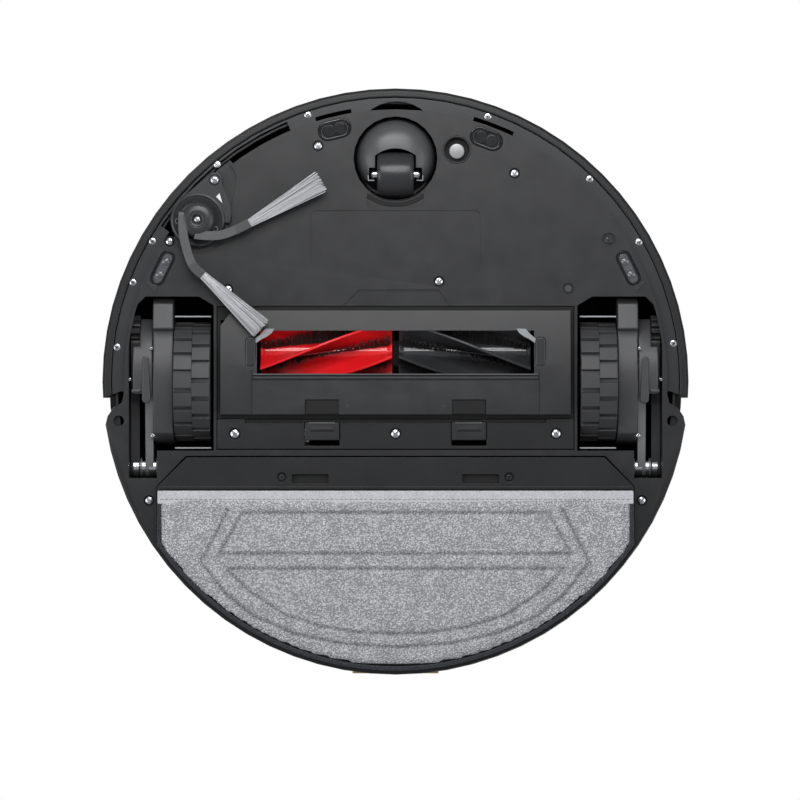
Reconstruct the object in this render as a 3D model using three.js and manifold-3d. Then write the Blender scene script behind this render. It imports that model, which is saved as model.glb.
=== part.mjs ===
// A round robot vacuum and mop, standing on its wheels, in millimetres.
// Origin on the floor under the centre, +Z up. The bumper faces -Y; the side brush is at -X, -Y.
import * as THREE from "three";
import { mergeVertices } from "three/addons/utils/BufferGeometryUtils.js";
import Module from "manifold-3d";

const wasm = await Module();
wasm.setup();

// Overall sizes.
const BODY_RADIUS = 176;
const BODY_HEIGHT = 80;
const GROUND_CLEARANCE = 12;

// Sheet and wall thicknesses.
const PLATE_THICKNESS = 2.5;
const DECK_THICKNESS = 2.7;
const LID_THICKNESS = 2.7;
const SHELL_WALL = 2.4;
const THIN_WALL = 1.2;
const BUMPER_WALL = 4;
const LIP_THICKNESS = 2.5;

// Clearances.
const FIT_GAP = 0.3;
const RUNNING_GAP = 0.8;
const BUMPER_TRAVEL = 3;
const LATCH_TRAVEL = 3;

// Pieces that set the size of what holds them.
const TYRE_WIDTH = 22;
const WHEEL_RADIUS = 36;
const TYRE_LUGS = 20;
const LUG_HEIGHT = 2.5;
const ROLLER_RADIUS = 20;
const ROLLER_CORE_RADIUS = 11;
const ROLLER_FINS = 6;
const ROLLER_TWIST = 100;
const CASTER_WHEEL_RADIUS = 13.2;
const CASTER_WHEEL_HALF = 11;
const CASTER_TRAIL = 9.6;
const ARM_DISC_RADIUS = 15.6;
const ARM_PIVOT_RADIUS = 10;
const ARM_BOSS_RADIUS = 4;
const ARM_SWING = 35;
const GEAR_MODULE = 1.25;
const PINION_TEETH = 12;
const SECTOR_TEETH = 122;
const PAD_THICKNESS = 5;
const TURRET_RADIUS = 40;
const BUTTON_RADIUS = 5;

// Heights of the stack, from the floor up.
const PLATE_BOTTOM = GROUND_CLEARANCE;
const PLATE_TOP = PLATE_BOTTOM + PLATE_THICKNESS;
const INSIDE_FLOOR = PLATE_TOP + FIT_GAP;
const LIP_TOP = INSIDE_FLOOR + LIP_THICKNESS;
const LID_BOTTOM = BODY_HEIGHT - LID_THICKNESS;
const DECK_TOP = LID_BOTTOM - FIT_GAP;
const DECK_BOTTOM = DECK_TOP - DECK_THICKNESS;
const SHELL_TOP = DECK_BOTTOM - FIT_GAP;

// Radii of the round outline, from the outside in.
const SKIRT_RADIUS = BODY_RADIUS - FIT_GAP;
const REAR_WALL_INNER = BODY_RADIUS - SHELL_WALL;
const BUMPER_INNER = BODY_RADIUS - BUMPER_WALL;
const BAND_INNER = BODY_RADIUS - 5.3;
const LIP_OUTER = BAND_INNER - FIT_GAP;
const LIP_INNER = LIP_OUTER - 7.6;
const PLATE_FRONT_RADIUS = LIP_INNER + 0.4;
const FRONT_WALL_OUTER = BUMPER_INNER - BUMPER_TRAVEL - 0.7;
const FRONT_WALL_INNER = FRONT_WALL_OUTER - 1.5;
const WELL_EDGE_RADIUS = PLATE_FRONT_RADIUS - 1.6;
const LIP_REACH = LIP_INNER - BUMPER_TRAVEL - RUNNING_GAP;

// Wheel module, across X from the outside in.
const WELL_OUTER = BODY_RADIUS - 16;
const SECTOR_OUTER = WELL_OUTER - FIT_GAP;
const SECTOR_INNER = SECTOR_OUTER - 5.4;
const GUARD_OUTER = WELL_OUTER - 2.3;
const ARM_INNER = WELL_OUTER - 14;
const ARM_OUTER = ARM_INNER + 4.7;
const SLOT_INNER = ARM_INNER - 3;
const GEARBOX_OUTER = ARM_INNER - FIT_GAP;
const GEARBOX_INNER = GEARBOX_OUTER - 12.4;
const TYRE_OUTER = GEARBOX_INNER - FIT_GAP;
const TYRE_INNER = TYRE_OUTER - TYRE_WIDTH;
const WELL_INNER = TYRE_INNER - 2;
const BAY_HALF = WELL_INNER - THIN_WALL - 0.5;

// Wheel module, along Y.
const WELL_FRONT = -(WHEEL_RADIUS + 15);
const WELL_REAR = WHEEL_RADIUS + 5.5;
const PIVOT_Y = WHEEL_RADIUS + 16;
const PIVOT_Z = WHEEL_RADIUS - 2;
const PIVOT_EYE_RADIUS = 5.9;
const PIVOT_PIN_RADIUS = 3;
const SLOT_REAR = PIVOT_Y + PIVOT_EYE_RADIUS + 0.1;
const AXLE_RADIUS = 4;
const SECTOR_PITCH_RADIUS = (GEAR_MODULE * SECTOR_TEETH) / 2;
const PINION_PITCH_RADIUS = (GEAR_MODULE * PINION_TEETH) / 2;
const PINION_Y = PIVOT_Y - SECTOR_PITCH_RADIUS - PINION_PITCH_RADIUS;

// Main brush bay.
const ROLLER_Y = -17.6;
const ROLLER_Z = ROLLER_RADIUS + 4;
const ROLLER_END = BAY_HALF - 26.3;
const ROLLER_SPLIT = 2;
const CAVITY_RADIUS = ROLLER_RADIUS + 1.3;
const CAVITY_END = ROLLER_END + 5.3;
const BAY_FRONT = ROLLER_Y - ROLLER_RADIUS - 7.7;
const COVER_REAR = ROLLER_Y + ROLLER_RADIUS + 17.3;
const BAY_REAR = COVER_REAR + 21.3;
const COVER_BOTTOM = GROUND_CLEARANCE / 2;
const COVER_SKIN = 2;
const MOUTH_HALF = Math.sqrt(ROLLER_RADIUS ** 2 - (ROLLER_Z - COVER_BOTTOM - COVER_SKIN) ** 2) + 0.9;
const HOUSING_TOP = ROLLER_Z + ROLLER_RADIUS + 8;
const FLANGE_REAR = COVER_REAR + 2.6;
const LATCH_X = 44;
const LATCH_HALF = 10.2;
const LATCH_FRONT = COVER_REAR + 4.9;
const LATCH_LENGTH = 10.6;

// Front pieces.
const CASTER_Y = -(BODY_RADIUS - 42.2);
const CASTER_WELL_RADIUS = CASTER_TRAIL + CASTER_WHEEL_RADIUS + 2.4;
const YOKE_RADIUS = CASTER_WELL_RADIUS - 1.2;
const SOCKET_RADIUS = CASTER_WELL_RADIUS + 2;
const FORK_TOP = 2 * CASTER_WHEEL_RADIUS + 3.6;
const STEM_RADIUS = 4;
const STEM_TOP = FORK_TOP + 13;
const ARM_PIVOT_ANGLE = (-131.9 * Math.PI) / 180;
const ARM_PIVOT_REACH = BODY_RADIUS - 13.7;
const ARM_PIVOT = new THREE.Vector2(
  ARM_PIVOT_REACH * Math.cos(ARM_PIVOT_ANGLE),
  ARM_PIVOT_REACH * Math.sin(ARM_PIVOT_ANGLE),
);
const BRUSH_HUB = new THREE.Vector2(ARM_PIVOT.x - 10.1, ARM_PIVOT.y + 24);
const ARM_BOTTOM = GROUND_CLEARANCE - 3.7;
const ARM_TOP = ARM_BOTTOM + 4.6;
const POCKET_CEILING = ARM_TOP + 0.5;
const POCKET_TOP = POCKET_CEILING + PLATE_THICKNESS;
const LIP_GAP_FROM = -112.7;
const LIP_GAP_TO = -146.5;
const BATTERY_FRONT = CASTER_Y + SOCKET_RADIUS + 2.6;
const BATTERY_REAR = BAY_FRONT - 12.7;

// Mop, tank and top.
const MOP_FRONT = Math.max(WELL_REAR, BAY_REAR) + 3.9;
const MOP_SHOULDER = MOP_FRONT + 17.3;
const PAD_FRONT = MOP_SHOULDER + 2.3;
const MOP_RADIUS = BODY_RADIUS - 3.4;
const MOP_HALF = BODY_RADIUS - 33.5;
const MOP_PLATE_TOP = GROUND_CLEARANCE - 1.5;
const MOP_LIFT = 6.5;
const TANK_BOTTOM = MOP_PLATE_TOP + MOP_LIFT + 13;
const TANK_TOP = TANK_BOTTOM + 24;
const TURRET_Y = 70;
const TURRET_BOTTOM = TANK_TOP + 4;
const BIN_HALF = 95;
const BIN_FRONT = -58;
const BIN_REAR = 8;
const BIN_BOTTOM = HOUSING_TOP + 1.5;
const LID_REAR = BIN_REAR + 3.2;
const BUTTON_Y = (LID_REAR + TURRET_Y - TURRET_RADIUS) / 2;
const BUTTON_X = 13;
const CONTACT_X = 20;
const CONTACT_HALF = 6;
const CONTACT_Z = 32;

// Colour, roughness and metalness of each finish.
const SATIN_BLACK = [0x26282b, 0.5, 0];
const DARK_GREY = [0x3a3c40, 0.6, 0];
const GLOSS_BLACK = [0x101114, 0.15, 0];
const MID_GREY = [0x77797c, 0.6, 0];
const PALE_GREY = [0xb9bbbd, 0.8, 0];
const RUBBER = [0x1b1c1e, 0.85, 0];
const RED = [0xb3161c, 0.45, 0];
const STEEL = [0xb8babd, 0.3, 1];
const GOLD = [0xc9a14a, 0.3, 1];
const BOARD_GREEN = [0x1f5a3a, 0.6, 0];

// ---- Solids -------------------------------------------------------------------------------

// A closed geometry as a solid that can be joined and cut.
function solid(geometry) {
  const bare = geometry.index ? geometry.toNonIndexed() : geometry.clone();
  bare.deleteAttribute("normal");
  bare.deleteAttribute("uv");
  const merged = mergeVertices(bare, 1e-4);
  const index = merged.index.array;
  const triVerts = [];
  for (let i = 0; i < index.length; i += 3) {
    const [a, b, c] = [index[i], index[i + 1], index[i + 2]];
    if (a !== b && b !== c && c !== a) triVerts.push(a, b, c);
  }
  const vertProperties = merged.attributes.position.array;
  const mesh = { numProp: 3, vertProperties, triVerts: new Uint32Array(triVerts) };
  return new wasm.Manifold(new wasm.Mesh(mesh));
}

// Degrees between the corners of a faceted circle.
function facetStep(radius) {
  if (radius > 100) return 5;
  return radius > 22 ? 15 : 22.5;
}

function arc(x, y, radius, from, to) {
  const steps = 2 * Math.max(1, Math.round(Math.abs(to - from) / facetStep(radius) / 2));
  return Array.from({ length: steps + 1 }, (_, i) => {
    const angle = THREE.MathUtils.degToRad(from + ((to - from) * i) / steps);
    return new THREE.Vector2(x + radius * Math.cos(angle), y + radius * Math.sin(angle));
  });
}

function circle(x, y, radius) {
  return arc(x, y, radius, 0, 360).slice(0, -1);
}

function points(...pairs) {
  return pairs.map(([x, y]) => new THREE.Vector2(x, y));
}

function rectangle(x0, x1, y0, y1) {
  return points([x0, y0], [x1, y0], [x1, y1], [x0, y1]);
}

// The outline of a belt round two discs.
function strap(a, aRadius, b, bRadius) {
  const along = b.clone().sub(a);
  const heading = THREE.MathUtils.radToDeg(along.angle());
  const wrap = THREE.MathUtils.radToDeg(Math.acos((aRadius - bRadius) / along.length()));
  return [
    ...arc(a.x, a.y, aRadius, heading + wrap, heading + 360 - wrap),
    ...arc(b.x, b.y, bRadius, heading - wrap, heading + wrap),
  ];
}

function extruded(outline, depth) {
  const shape = new THREE.Shape(outline);
  return new THREE.ExtrudeGeometry(shape, { depth, bevelEnabled: false });
}

// An outline in X and Y, from one height to another.
function slab(outline, low, high) {
  return solid(extruded(outline, high - low).translate(0, 0, low));
}

// An outline in Y and Z, from one X to another.
function acrossX(outline, x0, x1) {
  const turn = new THREE.Matrix4().makeBasis(
    new THREE.Vector3(0, 1, 0),
    new THREE.Vector3(0, 0, 1),
    new THREE.Vector3(1, 0, 0),
  );
  const geometry = extruded(outline, Math.abs(x1 - x0)).applyMatrix4(turn);
  return solid(geometry.translate(Math.min(x0, x1), 0, 0));
}

function block(x0, x1, y0, y1, z0, z1) {
  return slab(rectangle(Math.min(x0, x1), Math.max(x0, x1), y0, y1), z0, z1);
}

function disc(x, y, radius, low, high) {
  return slab(circle(x, y, radius), low, high);
}

function rod(y, z, radius, x0, x1) {
  return acrossX(circle(y, z, radius), x0, x1);
}

// A slice of a disc between two directions in degrees.
function sector(from, to, radius, low, high) {
  return slab([new THREE.Vector2(0, 0), ...arc(0, 0, radius, from, to)], low, high);
}

function ring(inner, outer, low, high) {
  return disc(0, 0, outer, low, high).subtract(disc(0, 0, inner, low - 1, high + 1));
}

// A profile of radius and height, turned about Z.
function turned(profile, steps) {
  const closed = profile[0][0] > 0 ? [...profile, profile[0]] : profile;
  const path = points(...closed);
  if (THREE.ShapeUtils.isClockWise(path)) path.reverse();
  return solid(new THREE.LatheGeometry(path, steps).rotateX(Math.PI / 2));
}

function geometryOf(body) {
  const mesh = body.getMesh();
  const geometry = new THREE.BufferGeometry();
  geometry.setAttribute("position", new THREE.BufferAttribute(mesh.vertProperties, 3));
  geometry.setIndex(new THREE.BufferAttribute(mesh.triVerts, 1));
  geometry.computeVertexNormals();
  return geometry;
}

function piece(name, body, [color, roughness, metalness]) {
  const material = new THREE.MeshStandardMaterial({ color, roughness, metalness });
  const mesh = new THREE.Mesh(geometryOf(body), material);
  mesh.name = name;
  return mesh;
}

function group(children, x = 0, y = 0, z = 0) {
  const holder = new THREE.Group();
  holder.add(...children);
  holder.position.set(x, y, z);
  return holder;
}

// ---- Outlines of the body -----------------------------------------------------------------

// The rear body's rounded front corner, from the bumper's end back to the round wall.
function shoulder(radius, side) {
  return points(
    [side * (radius - 11.5), 12.8],
    [side * (radius - 6.7), 15.6],
    [side * (radius - 3.1), 20.8],
  );
}

function rearArc(radius) {
  const start = THREE.MathUtils.radToDeg(Math.asin(26 / radius));
  return arc(0, 0, radius, 180 - start, start);
}

function rearOutline(radius) {
  return [...shoulder(radius, -1), ...rearArc(radius), ...shoulder(radius, 1).reverse()];
}

function plateOutline() {
  const start = THREE.MathUtils.radToDeg(Math.asin(8 / PLATE_FRONT_RADIUS));
  const front = arc(0, 0, PLATE_FRONT_RADIUS, start, -180 - start);
  return [...front, ...rearOutline(SKIRT_RADIUS)];
}

// The wheel well with its narrow slot towards the pivot; grow moves every wall outwards.
function wellOutline(side, grow) {
  const outer = WELL_OUTER + grow;
  const corner = Math.sqrt(FRONT_WALL_INNER ** 2 - (WELL_OUTER + THIN_WALL) ** 2) - 1.6;
  const outline = [
    [WELL_INNER - grow, WELL_REAR + grow],
    [WELL_INNER - grow, WELL_FRONT + 5.4],
    [WELL_INNER + 9, WELL_FRONT - grow],
    [outer - 10, WELL_FRONT - grow],
    [outer, -corner - grow / 2],
    [outer, SLOT_REAR + grow],
    [SLOT_INNER - grow, SLOT_REAR + grow],
    [SLOT_INNER - grow, WELL_REAR + grow],
  ];
  return points(...outline.map(([x, y]) => [side * x, y]));
}

function mopOutline(front, frontHalf, radius, half) {
  const corner = THREE.MathUtils.radToDeg(Math.acos(half / radius));
  return [
    new THREE.Vector2(-frontHalf, front),
    ...arc(0, 0, radius, 180 - corner, corner),
    new THREE.Vector2(frontHalf, front),
  ];
}

// The mop holder: a tapered front edge, then the round rear of the body.
function mopPlateOutline(grow) {
  const taper = points([MOP_HALF + grow - 17.5, MOP_FRONT - grow], [MOP_HALF + grow, MOP_SHOULDER]);
  const left = taper.map((p) => new THREE.Vector2(-p.x, p.y));
  const radius = MOP_RADIUS - RUNNING_GAP + grow;
  const corner = THREE.MathUtils.radToDeg(Math.acos((MOP_HALF + grow) / radius));
  return [...left, ...arc(0, 0, radius, 180 - corner, corner), ...taper.reverse()];
}

// Where the side brush's arm can reach as it swings out, with a margin round it.
function armSweep(margin, low, high) {
  const reach = BRUSH_HUB.clone().sub(ARM_PIVOT);
  let swept = disc(BRUSH_HUB.x, BRUSH_HUB.y, ARM_DISC_RADIUS + margin + 1.8, low, high);
  for (let angle = 0; angle <= ARM_SWING; angle += ARM_SWING / 2) {
    const turnedBy = THREE.MathUtils.degToRad(angle);
    const hub = reach.clone().rotateAround(new THREE.Vector2(), turnedBy).add(ARM_PIVOT);
    const outline = strap(hub, ARM_DISC_RADIUS + margin, ARM_PIVOT, ARM_PIVOT_RADIUS + margin);
    swept = swept.add(slab(outline, low, high));
  }
  return swept;
}

// ---- Sensors in the base --------------------------------------------------------------------

// Each floor sensor: where it stands on the rim, its length, its width and how many lenses.
const SENSOR_RING = PLATE_FRONT_RADIUS - 7.8;
const CARPET_SENSOR_RADIUS = 8.3;
const CARPET_SENSOR_X = SOCKET_RADIUS + CARPET_SENSOR_RADIUS + 1.3;
const CARPET_SENSOR = new THREE.Vector2(CARPET_SENSOR_X, CASTER_Y - 5.2);
const CARPET_SENSOR_ANGLE = THREE.MathUtils.radToDeg(CARPET_SENSOR.angle()) - 360;

const FLOOR_SENSORS = [
  { name: "front_left_cliff_sensor", angle: -103.6, length: 20, width: 11.4 },
  { name: "front_right_cliff_sensor", angle: CARPET_SENSOR_ANGLE + 5.7, length: 20, width: 11.4 },
  { name: "side_left_cliff_sensor", angle: -154, length: 22, width: 8.4 },
  { name: "side_right_cliff_sensor", angle: -26, length: 22, width: 8.4 },
];

function sensorOutline(sensor, shrink) {
  const angle = THREE.MathUtils.degToRad(sensor.angle);
  const centre = new THREE.Vector2(Math.cos(angle), Math.sin(angle)).multiplyScalar(SENSOR_RING);
  const along = new THREE.Vector2(-Math.sin(angle), Math.cos(angle));
  const half = (sensor.length - sensor.width) / 2;
  const from = centre.clone().addScaledVector(along, -half);
  const to = centre.clone().addScaledVector(along, half);
  const radius = sensor.width / 2 - shrink;
  return strap(from, radius, to, radius);
}

function floorSensor(sensor) {
  const body = slab(sensorOutline(sensor, 0), PLATE_BOTTOM + 0.2, PLATE_BOTTOM + 11);
  const window = slab(sensorOutline(sensor, 1.4), PLATE_BOTTOM - 1, PLATE_BOTTOM + 1.6);
  const lipRoom = ring(LIP_REACH, BODY_RADIUS, PLATE_TOP, PLATE_BOTTOM + 12);
  return piece(sensor.name, body.subtract(window).subtract(lipRoom), GLOSS_BLACK);
}

function carpetSensor() {
  const face = PLATE_BOTTOM + 0.2;
  const radius = CARPET_SENSOR_RADIUS;
  const rim = radius - 1;
  const cup = turned(
    [[0, face + 1.6], [4.6, face + 1.6], [4.6, face + 2.6], [rim, face + 2.6], [rim, face],
      [radius, face], [radius, face + 9], [0, face + 9]],
    16,
  );
  return group([piece("carpet_sensor", cup, SATIN_BLACK)], CARPET_SENSOR.x, CARPET_SENSOR.y);
}

// ---- Chassis --------------------------------------------------------------------------------

function basePlate() {
  const below = PLATE_BOTTOM - 1;
  const above = PLATE_TOP + 1;
  let plate = slab(plateOutline(), PLATE_BOTTOM, PLATE_TOP);
  for (const side of [-1, 1]) {
    const rim = disc(0, 0, WELL_EDGE_RADIUS, below, above);
    const behind = block(-BODY_RADIUS, BODY_RADIUS, 0, BODY_RADIUS, below, above);
    plate = plate.subtract(slab(wellOutline(side, 0), below, above).intersect(rim.add(behind)));
  }
  plate = plate.subtract(block(-BAY_HALF, BAY_HALF, BAY_FRONT, BAY_REAR, below, above));
  plate = plate.subtract(slab(mopPlateOutline(RUNNING_GAP), below, above));
  plate = plate.subtract(disc(0, CASTER_Y, CASTER_WELL_RADIUS, below, above));
  plate = plate.subtract(block(-17, 17, CASTER_Y, CASTER_Y + 29, below, PLATE_BOTTOM + 1.2));
  plate = plate.subtract(disc(CARPET_SENSOR.x, CARPET_SENSOR.y, CARPET_SENSOR_RADIUS + 0.3, below, above));
  for (const sensor of FLOOR_SENSORS) {
    plate = plate.subtract(slab(sensorOutline(sensor, -FIT_GAP), below, above));
  }
  plate = plate.subtract(armSweep(3, below, above));
  const ceiling = armSweep(5, POCKET_CEILING, POCKET_TOP);
  const inside = disc(0, 0, LIP_REACH, below, POCKET_TOP);
  const lipGap = sector(LIP_GAP_FROM - 2, LIP_GAP_TO + 2, FRONT_WALL_INNER - 1, below, POCKET_TOP);
  const boss = disc(ARM_PIVOT.x, ARM_PIVOT.y, ARM_BOSS_RADIUS + 0.6, below, POCKET_TOP + 1);
  plate = plate.add(ceiling.intersect(inside.add(lipGap))).subtract(boss);
  return piece("base_plate", plate, SATIN_BLACK);
}

function sideShell() {
  const split = 27;
  const rear = slab(rearOutline(BODY_RADIUS), INSIDE_FLOOR, SHELL_TOP);
  const behind = block(-BODY_RADIUS, BODY_RADIUS, split, BODY_RADIUS, 0, BODY_HEIGHT);
  const hollow = disc(0, 0, REAR_WALL_INNER, 0, BODY_HEIGHT).intersect(behind);
  const middle = disc(0, 0, FRONT_WALL_INNER, 0, BODY_HEIGHT);
  const ahead = block(-BODY_RADIUS, BODY_RADIUS, -BODY_RADIUS, split - 7, 0, BODY_HEIGHT);
  const wall = ring(FRONT_WALL_INNER, FRONT_WALL_OUTER, LIP_TOP + FIT_GAP, SHELL_TOP);
  let shell = rear.subtract(hollow).subtract(middle).add(wall.intersect(ahead));
  for (const side of [-1, 1]) {
    const inner = side * (CONTACT_X - CONTACT_HALF - FIT_GAP);
    const outer = side * (CONTACT_X + CONTACT_HALF + FIT_GAP);
    const low = CONTACT_Z - CONTACT_HALF - FIT_GAP;
    const high = CONTACT_Z + CONTACT_HALF + FIT_GAP;
    shell = shell.subtract(block(inner, outer, 0.9 * BODY_RADIUS, BODY_RADIUS + 1, low, high));
  }
  return piece("side_shell", shell, SATIN_BLACK);
}

function topDeck() {
  const step = LID_REAR + FIT_GAP;
  const low = disc(0, 0, SKIRT_RADIUS, DECK_BOTTOM, DECK_TOP);
  const behind = block(-BODY_RADIUS, BODY_RADIUS, step, BODY_RADIUS, 0, BODY_HEIGHT + 1);
  const raised = disc(0, 0, SKIRT_RADIUS, DECK_BOTTOM, BODY_HEIGHT).intersect(behind);
  let deck = low.add(raised);
  const rim = 0.5;
  const top = BODY_HEIGHT + 1;
  deck = deck.subtract(block(-BIN_HALF - rim, BIN_HALF + rim, BIN_FRONT - rim, BIN_REAR + rim, 0, top));
  deck = deck.subtract(disc(0, TURRET_Y, TURRET_RADIUS + 0.7, 0, top));
  for (const side of [-1, 1]) {
    deck = deck.subtract(disc(side * BUTTON_X, BUTTON_Y, BUTTON_RADIUS + 0.4, 0, top));
  }
  return piece("top_deck", deck, SATIN_BLACK);
}

function wheelHouse(name, side) {
  const roof = SHELL_TOP - THIN_WALL;
  const house = slab(wellOutline(side, THIN_WALL), INSIDE_FLOOR, SHELL_TOP);
  const cavity = slab(wellOutline(side, 0), 0, roof);
  const nearLip = block(-BODY_RADIUS, BODY_RADIUS, -BODY_RADIUS, 12, 0, LIP_TOP + FIT_GAP);
  const lipRoom = nearLip.subtract(disc(0, 0, LIP_INNER - 1.3, -1, BODY_HEIGHT));
  return piece(name, house.subtract(cavity).subtract(lipRoom), DARK_GREY);
}

function pivotPin(name, side) {
  const pin = rod(PIVOT_Y, PIVOT_Z, PIVOT_PIN_RADIUS, side * (SLOT_INNER + 0.2), side * SECTOR_OUTER);
  return piece(name, pin, STEEL);
}

function chargeContact(name, side) {
  const x0 = side * (CONTACT_X - CONTACT_HALF);
  const x1 = side * (CONTACT_X + CONTACT_HALF);
  const low = CONTACT_Z - CONTACT_HALF;
  const high = CONTACT_Z + CONTACT_HALF;
  return piece(name, block(x0, x1, REAR_WALL_INNER - 1.5, BODY_RADIUS - 0.1, low, high), GOLD);
}

function casterSocket() {
  const inner = CASTER_WELL_RADIUS + 0.2;
  const bore = STEM_RADIUS + FIT_GAP;
  const top = STEM_TOP + 3;
  const roof = FORK_TOP + 1;
  const profile = [
    [inner, INSIDE_FLOOR], [SOCKET_RADIUS, INSIDE_FLOOR], [SOCKET_RADIUS, roof + 3],
    [STEM_RADIUS + 4, roof + 6], [STEM_RADIUS + 4, top], [bore, top], [bore, roof], [inner, roof],
  ];
  const edge = -LIP_REACH - CASTER_Y;
  const lipRoom = block(-inner, inner, -BODY_RADIUS, edge, 0, LIP_TOP + RUNNING_GAP);
  return group([piece("caster_socket", turned(profile, 24).subtract(lipRoom), DARK_GREY)], 0, CASTER_Y);
}

function batteryPack() {
  const width = 50;
  const middle = -10;
  const pack = block(middle - width, middle + width, BATTERY_FRONT, BATTERY_REAR, INSIDE_FLOOR + 1.4, 38);
  const rib = block(middle - width - 3, middle + width + 3, BATTERY_FRONT + 14, BATTERY_REAR - 14, 22, 32);
  return piece("battery_pack", pack.add(rib), DARK_GREY);
}

function mainBoard() {
  const board = block(-95, 44, BATTERY_FRONT, BATTERY_REAR, 44, 45.6);
  const chip = block(-40, -16, BATTERY_FRONT + 10, BATTERY_REAR - 12, 45.6, 48);
  const socket = block(14, 30, BATTERY_FRONT + 6, BATTERY_FRONT + 14, 45.6, 51);
  return piece("main_board", board.add(chip).add(socket), BOARD_GREEN);
}

function suctionFan() {
  const centre = new THREE.Vector2(75, (BATTERY_FRONT + BATTERY_REAR) / 2 - 9);
  const low = INSIDE_FLOOR + 1.4;
  const scroll = disc(centre.x, centre.y, 26, low, 42);
  const motor = disc(centre.x, centre.y, 17, 42, 52);
  const outlet = block(centre.x, centre.x + 38, centre.y + 8, centre.y + 25, low, 34);
  const passage = block(centre.x + 6, centre.x + 39, centre.y + 10, centre.y + 23, low + 2, 32);
  return piece("suction_fan", scroll.add(motor).add(outlet).subtract(passage), DARK_GREY);
}

function dustBin() {
  const wall = 2;
  const top = DECK_TOP - 0.2;
  const outside = block(-BIN_HALF, BIN_HALF, BIN_FRONT, BIN_REAR, BIN_BOTTOM, top);
  const half = BIN_HALF - wall;
  const inside = block(-half, half, BIN_FRONT + wall, BIN_REAR - wall, BIN_BOTTOM + wall, top + 1);
  const inlet = block(-18, 18, ROLLER_Y - 9, ROLLER_Y + 9, BIN_BOTTOM - 1, BIN_BOTTOM + wall + 1);
  return piece("dust_bin", outside.subtract(inside).subtract(inlet), MID_GREY);
}

function brushHousing() {
  const half = BAY_HALF - 0.5;
  const low = PLATE_BOTTOM + FIT_GAP;
  const front = BAY_FRONT + 0.5;
  const rear = ROLLER_Y + CAVITY_RADIUS + 3;
  const profile = points(
    [front, low], [front, ROLLER_Z + 16], [ROLLER_Y - 12, HOUSING_TOP], [ROLLER_Y + 12, HOUSING_TOP],
    [rear, ROLLER_Z + 14], [rear, INSIDE_FLOOR], [FLANGE_REAR, INSIDE_FLOOR], [FLANGE_REAR, low],
  );
  const tunnel = rod(ROLLER_Y, ROLLER_Z, CAVITY_RADIUS, -CAVITY_END, CAVITY_END);
  const south = ROLLER_Y - CAVITY_RADIUS;
  const north = ROLLER_Y + CAVITY_RADIUS;
  const mouth = block(-CAVITY_END, CAVITY_END, south, north, 0, ROLLER_Z);
  const duct = block(-17, 17, ROLLER_Y - 8, ROLLER_Y + 8, ROLLER_Z, HOUSING_TOP + 1);
  let housing = acrossX(profile, -half, half).subtract(tunnel).subtract(mouth).subtract(duct);
  for (const side of [-1, 1]) {
    const inner = side * (CAVITY_END + 2);
    housing = housing.subtract(block(inner, side * (half - 2), south + 2, north, 0, ROLLER_Z + 16));
  }
  return piece("brush_housing", housing, DARK_GREY);
}

function brushMotor() {
  const y = BAY_REAR - 8.5;
  const z = INSIDE_FLOOR + 13;
  const end = BAY_HALF - 1.3;
  const can = rod(y, z, 10, 6 - end, 54 - end);
  const shaft = rod(y, z, 2, -end, 6 - end);
  return piece("brush_motor", can.add(shaft), STEEL);
}

// The fixed plate behind the brush cover, with a notch for each latch.
function brushPlate() {
  const half = BAY_HALF - 0.5;
  const front = FLANGE_REAR + FIT_GAP;
  let plate = block(-half, half, front, BAY_REAR - 0.5, PLATE_BOTTOM - 0.6, PLATE_TOP);
  for (const side of [-1, 1]) {
    const reach = LATCH_HALF + FIT_GAP;
    const end = LATCH_FRONT + LATCH_LENGTH + LATCH_TRAVEL + FIT_GAP;
    const [x0, x1] = [side * LATCH_X - reach, side * LATCH_X + reach];
    plate = plate.subtract(block(x0, x1, front - 1, end, 0, PLATE_TOP + 1));
  }
  return piece("brush_plate", plate, SATIN_BLACK);
}

function waterTank() {
  const front = MOP_SHOULDER + 1;
  const rear = MOP_RADIUS - 22;
  const outline = points(
    [-100, front], [100, front], [104, rear - 30], [84, rear - 8], [60, rear],
    [-60, rear], [-84, rear - 8], [-104, rear - 30],
  );
  return piece("water_tank", slab(outline, TANK_BOTTOM, TANK_TOP), MID_GREY);
}

// ---- Bumper ---------------------------------------------------------------------------------

// Everything ahead of the bumper's slanted ends.
function bumperReach() {
  const inner = BODY_RADIUS - 11;
  const outline = points(
    [-inner - 35, 19], [-inner, 6], [inner, 6], [inner + 35, 19],
    [inner + 35, -BODY_RADIUS - 10], [-inner - 35, -BODY_RADIUS - 10],
  );
  return slab(outline, -1, BODY_HEIGHT + 1);
}

const BUMPER_TOP = SHELL_TOP - 2.5;
const WINDOW_HALF_ANGLE = 32;
const WINDOW_LOW = 28;
const WINDOW_HIGH = 58;

function arcBand(inner, outer, halfAngle, low, high) {
  const from = -90 - halfAngle;
  const to = -90 + halfAngle;
  return slab([...arc(0, 0, outer, from, to), ...arc(0, 0, inner, to, from)], low, high);
}

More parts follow.
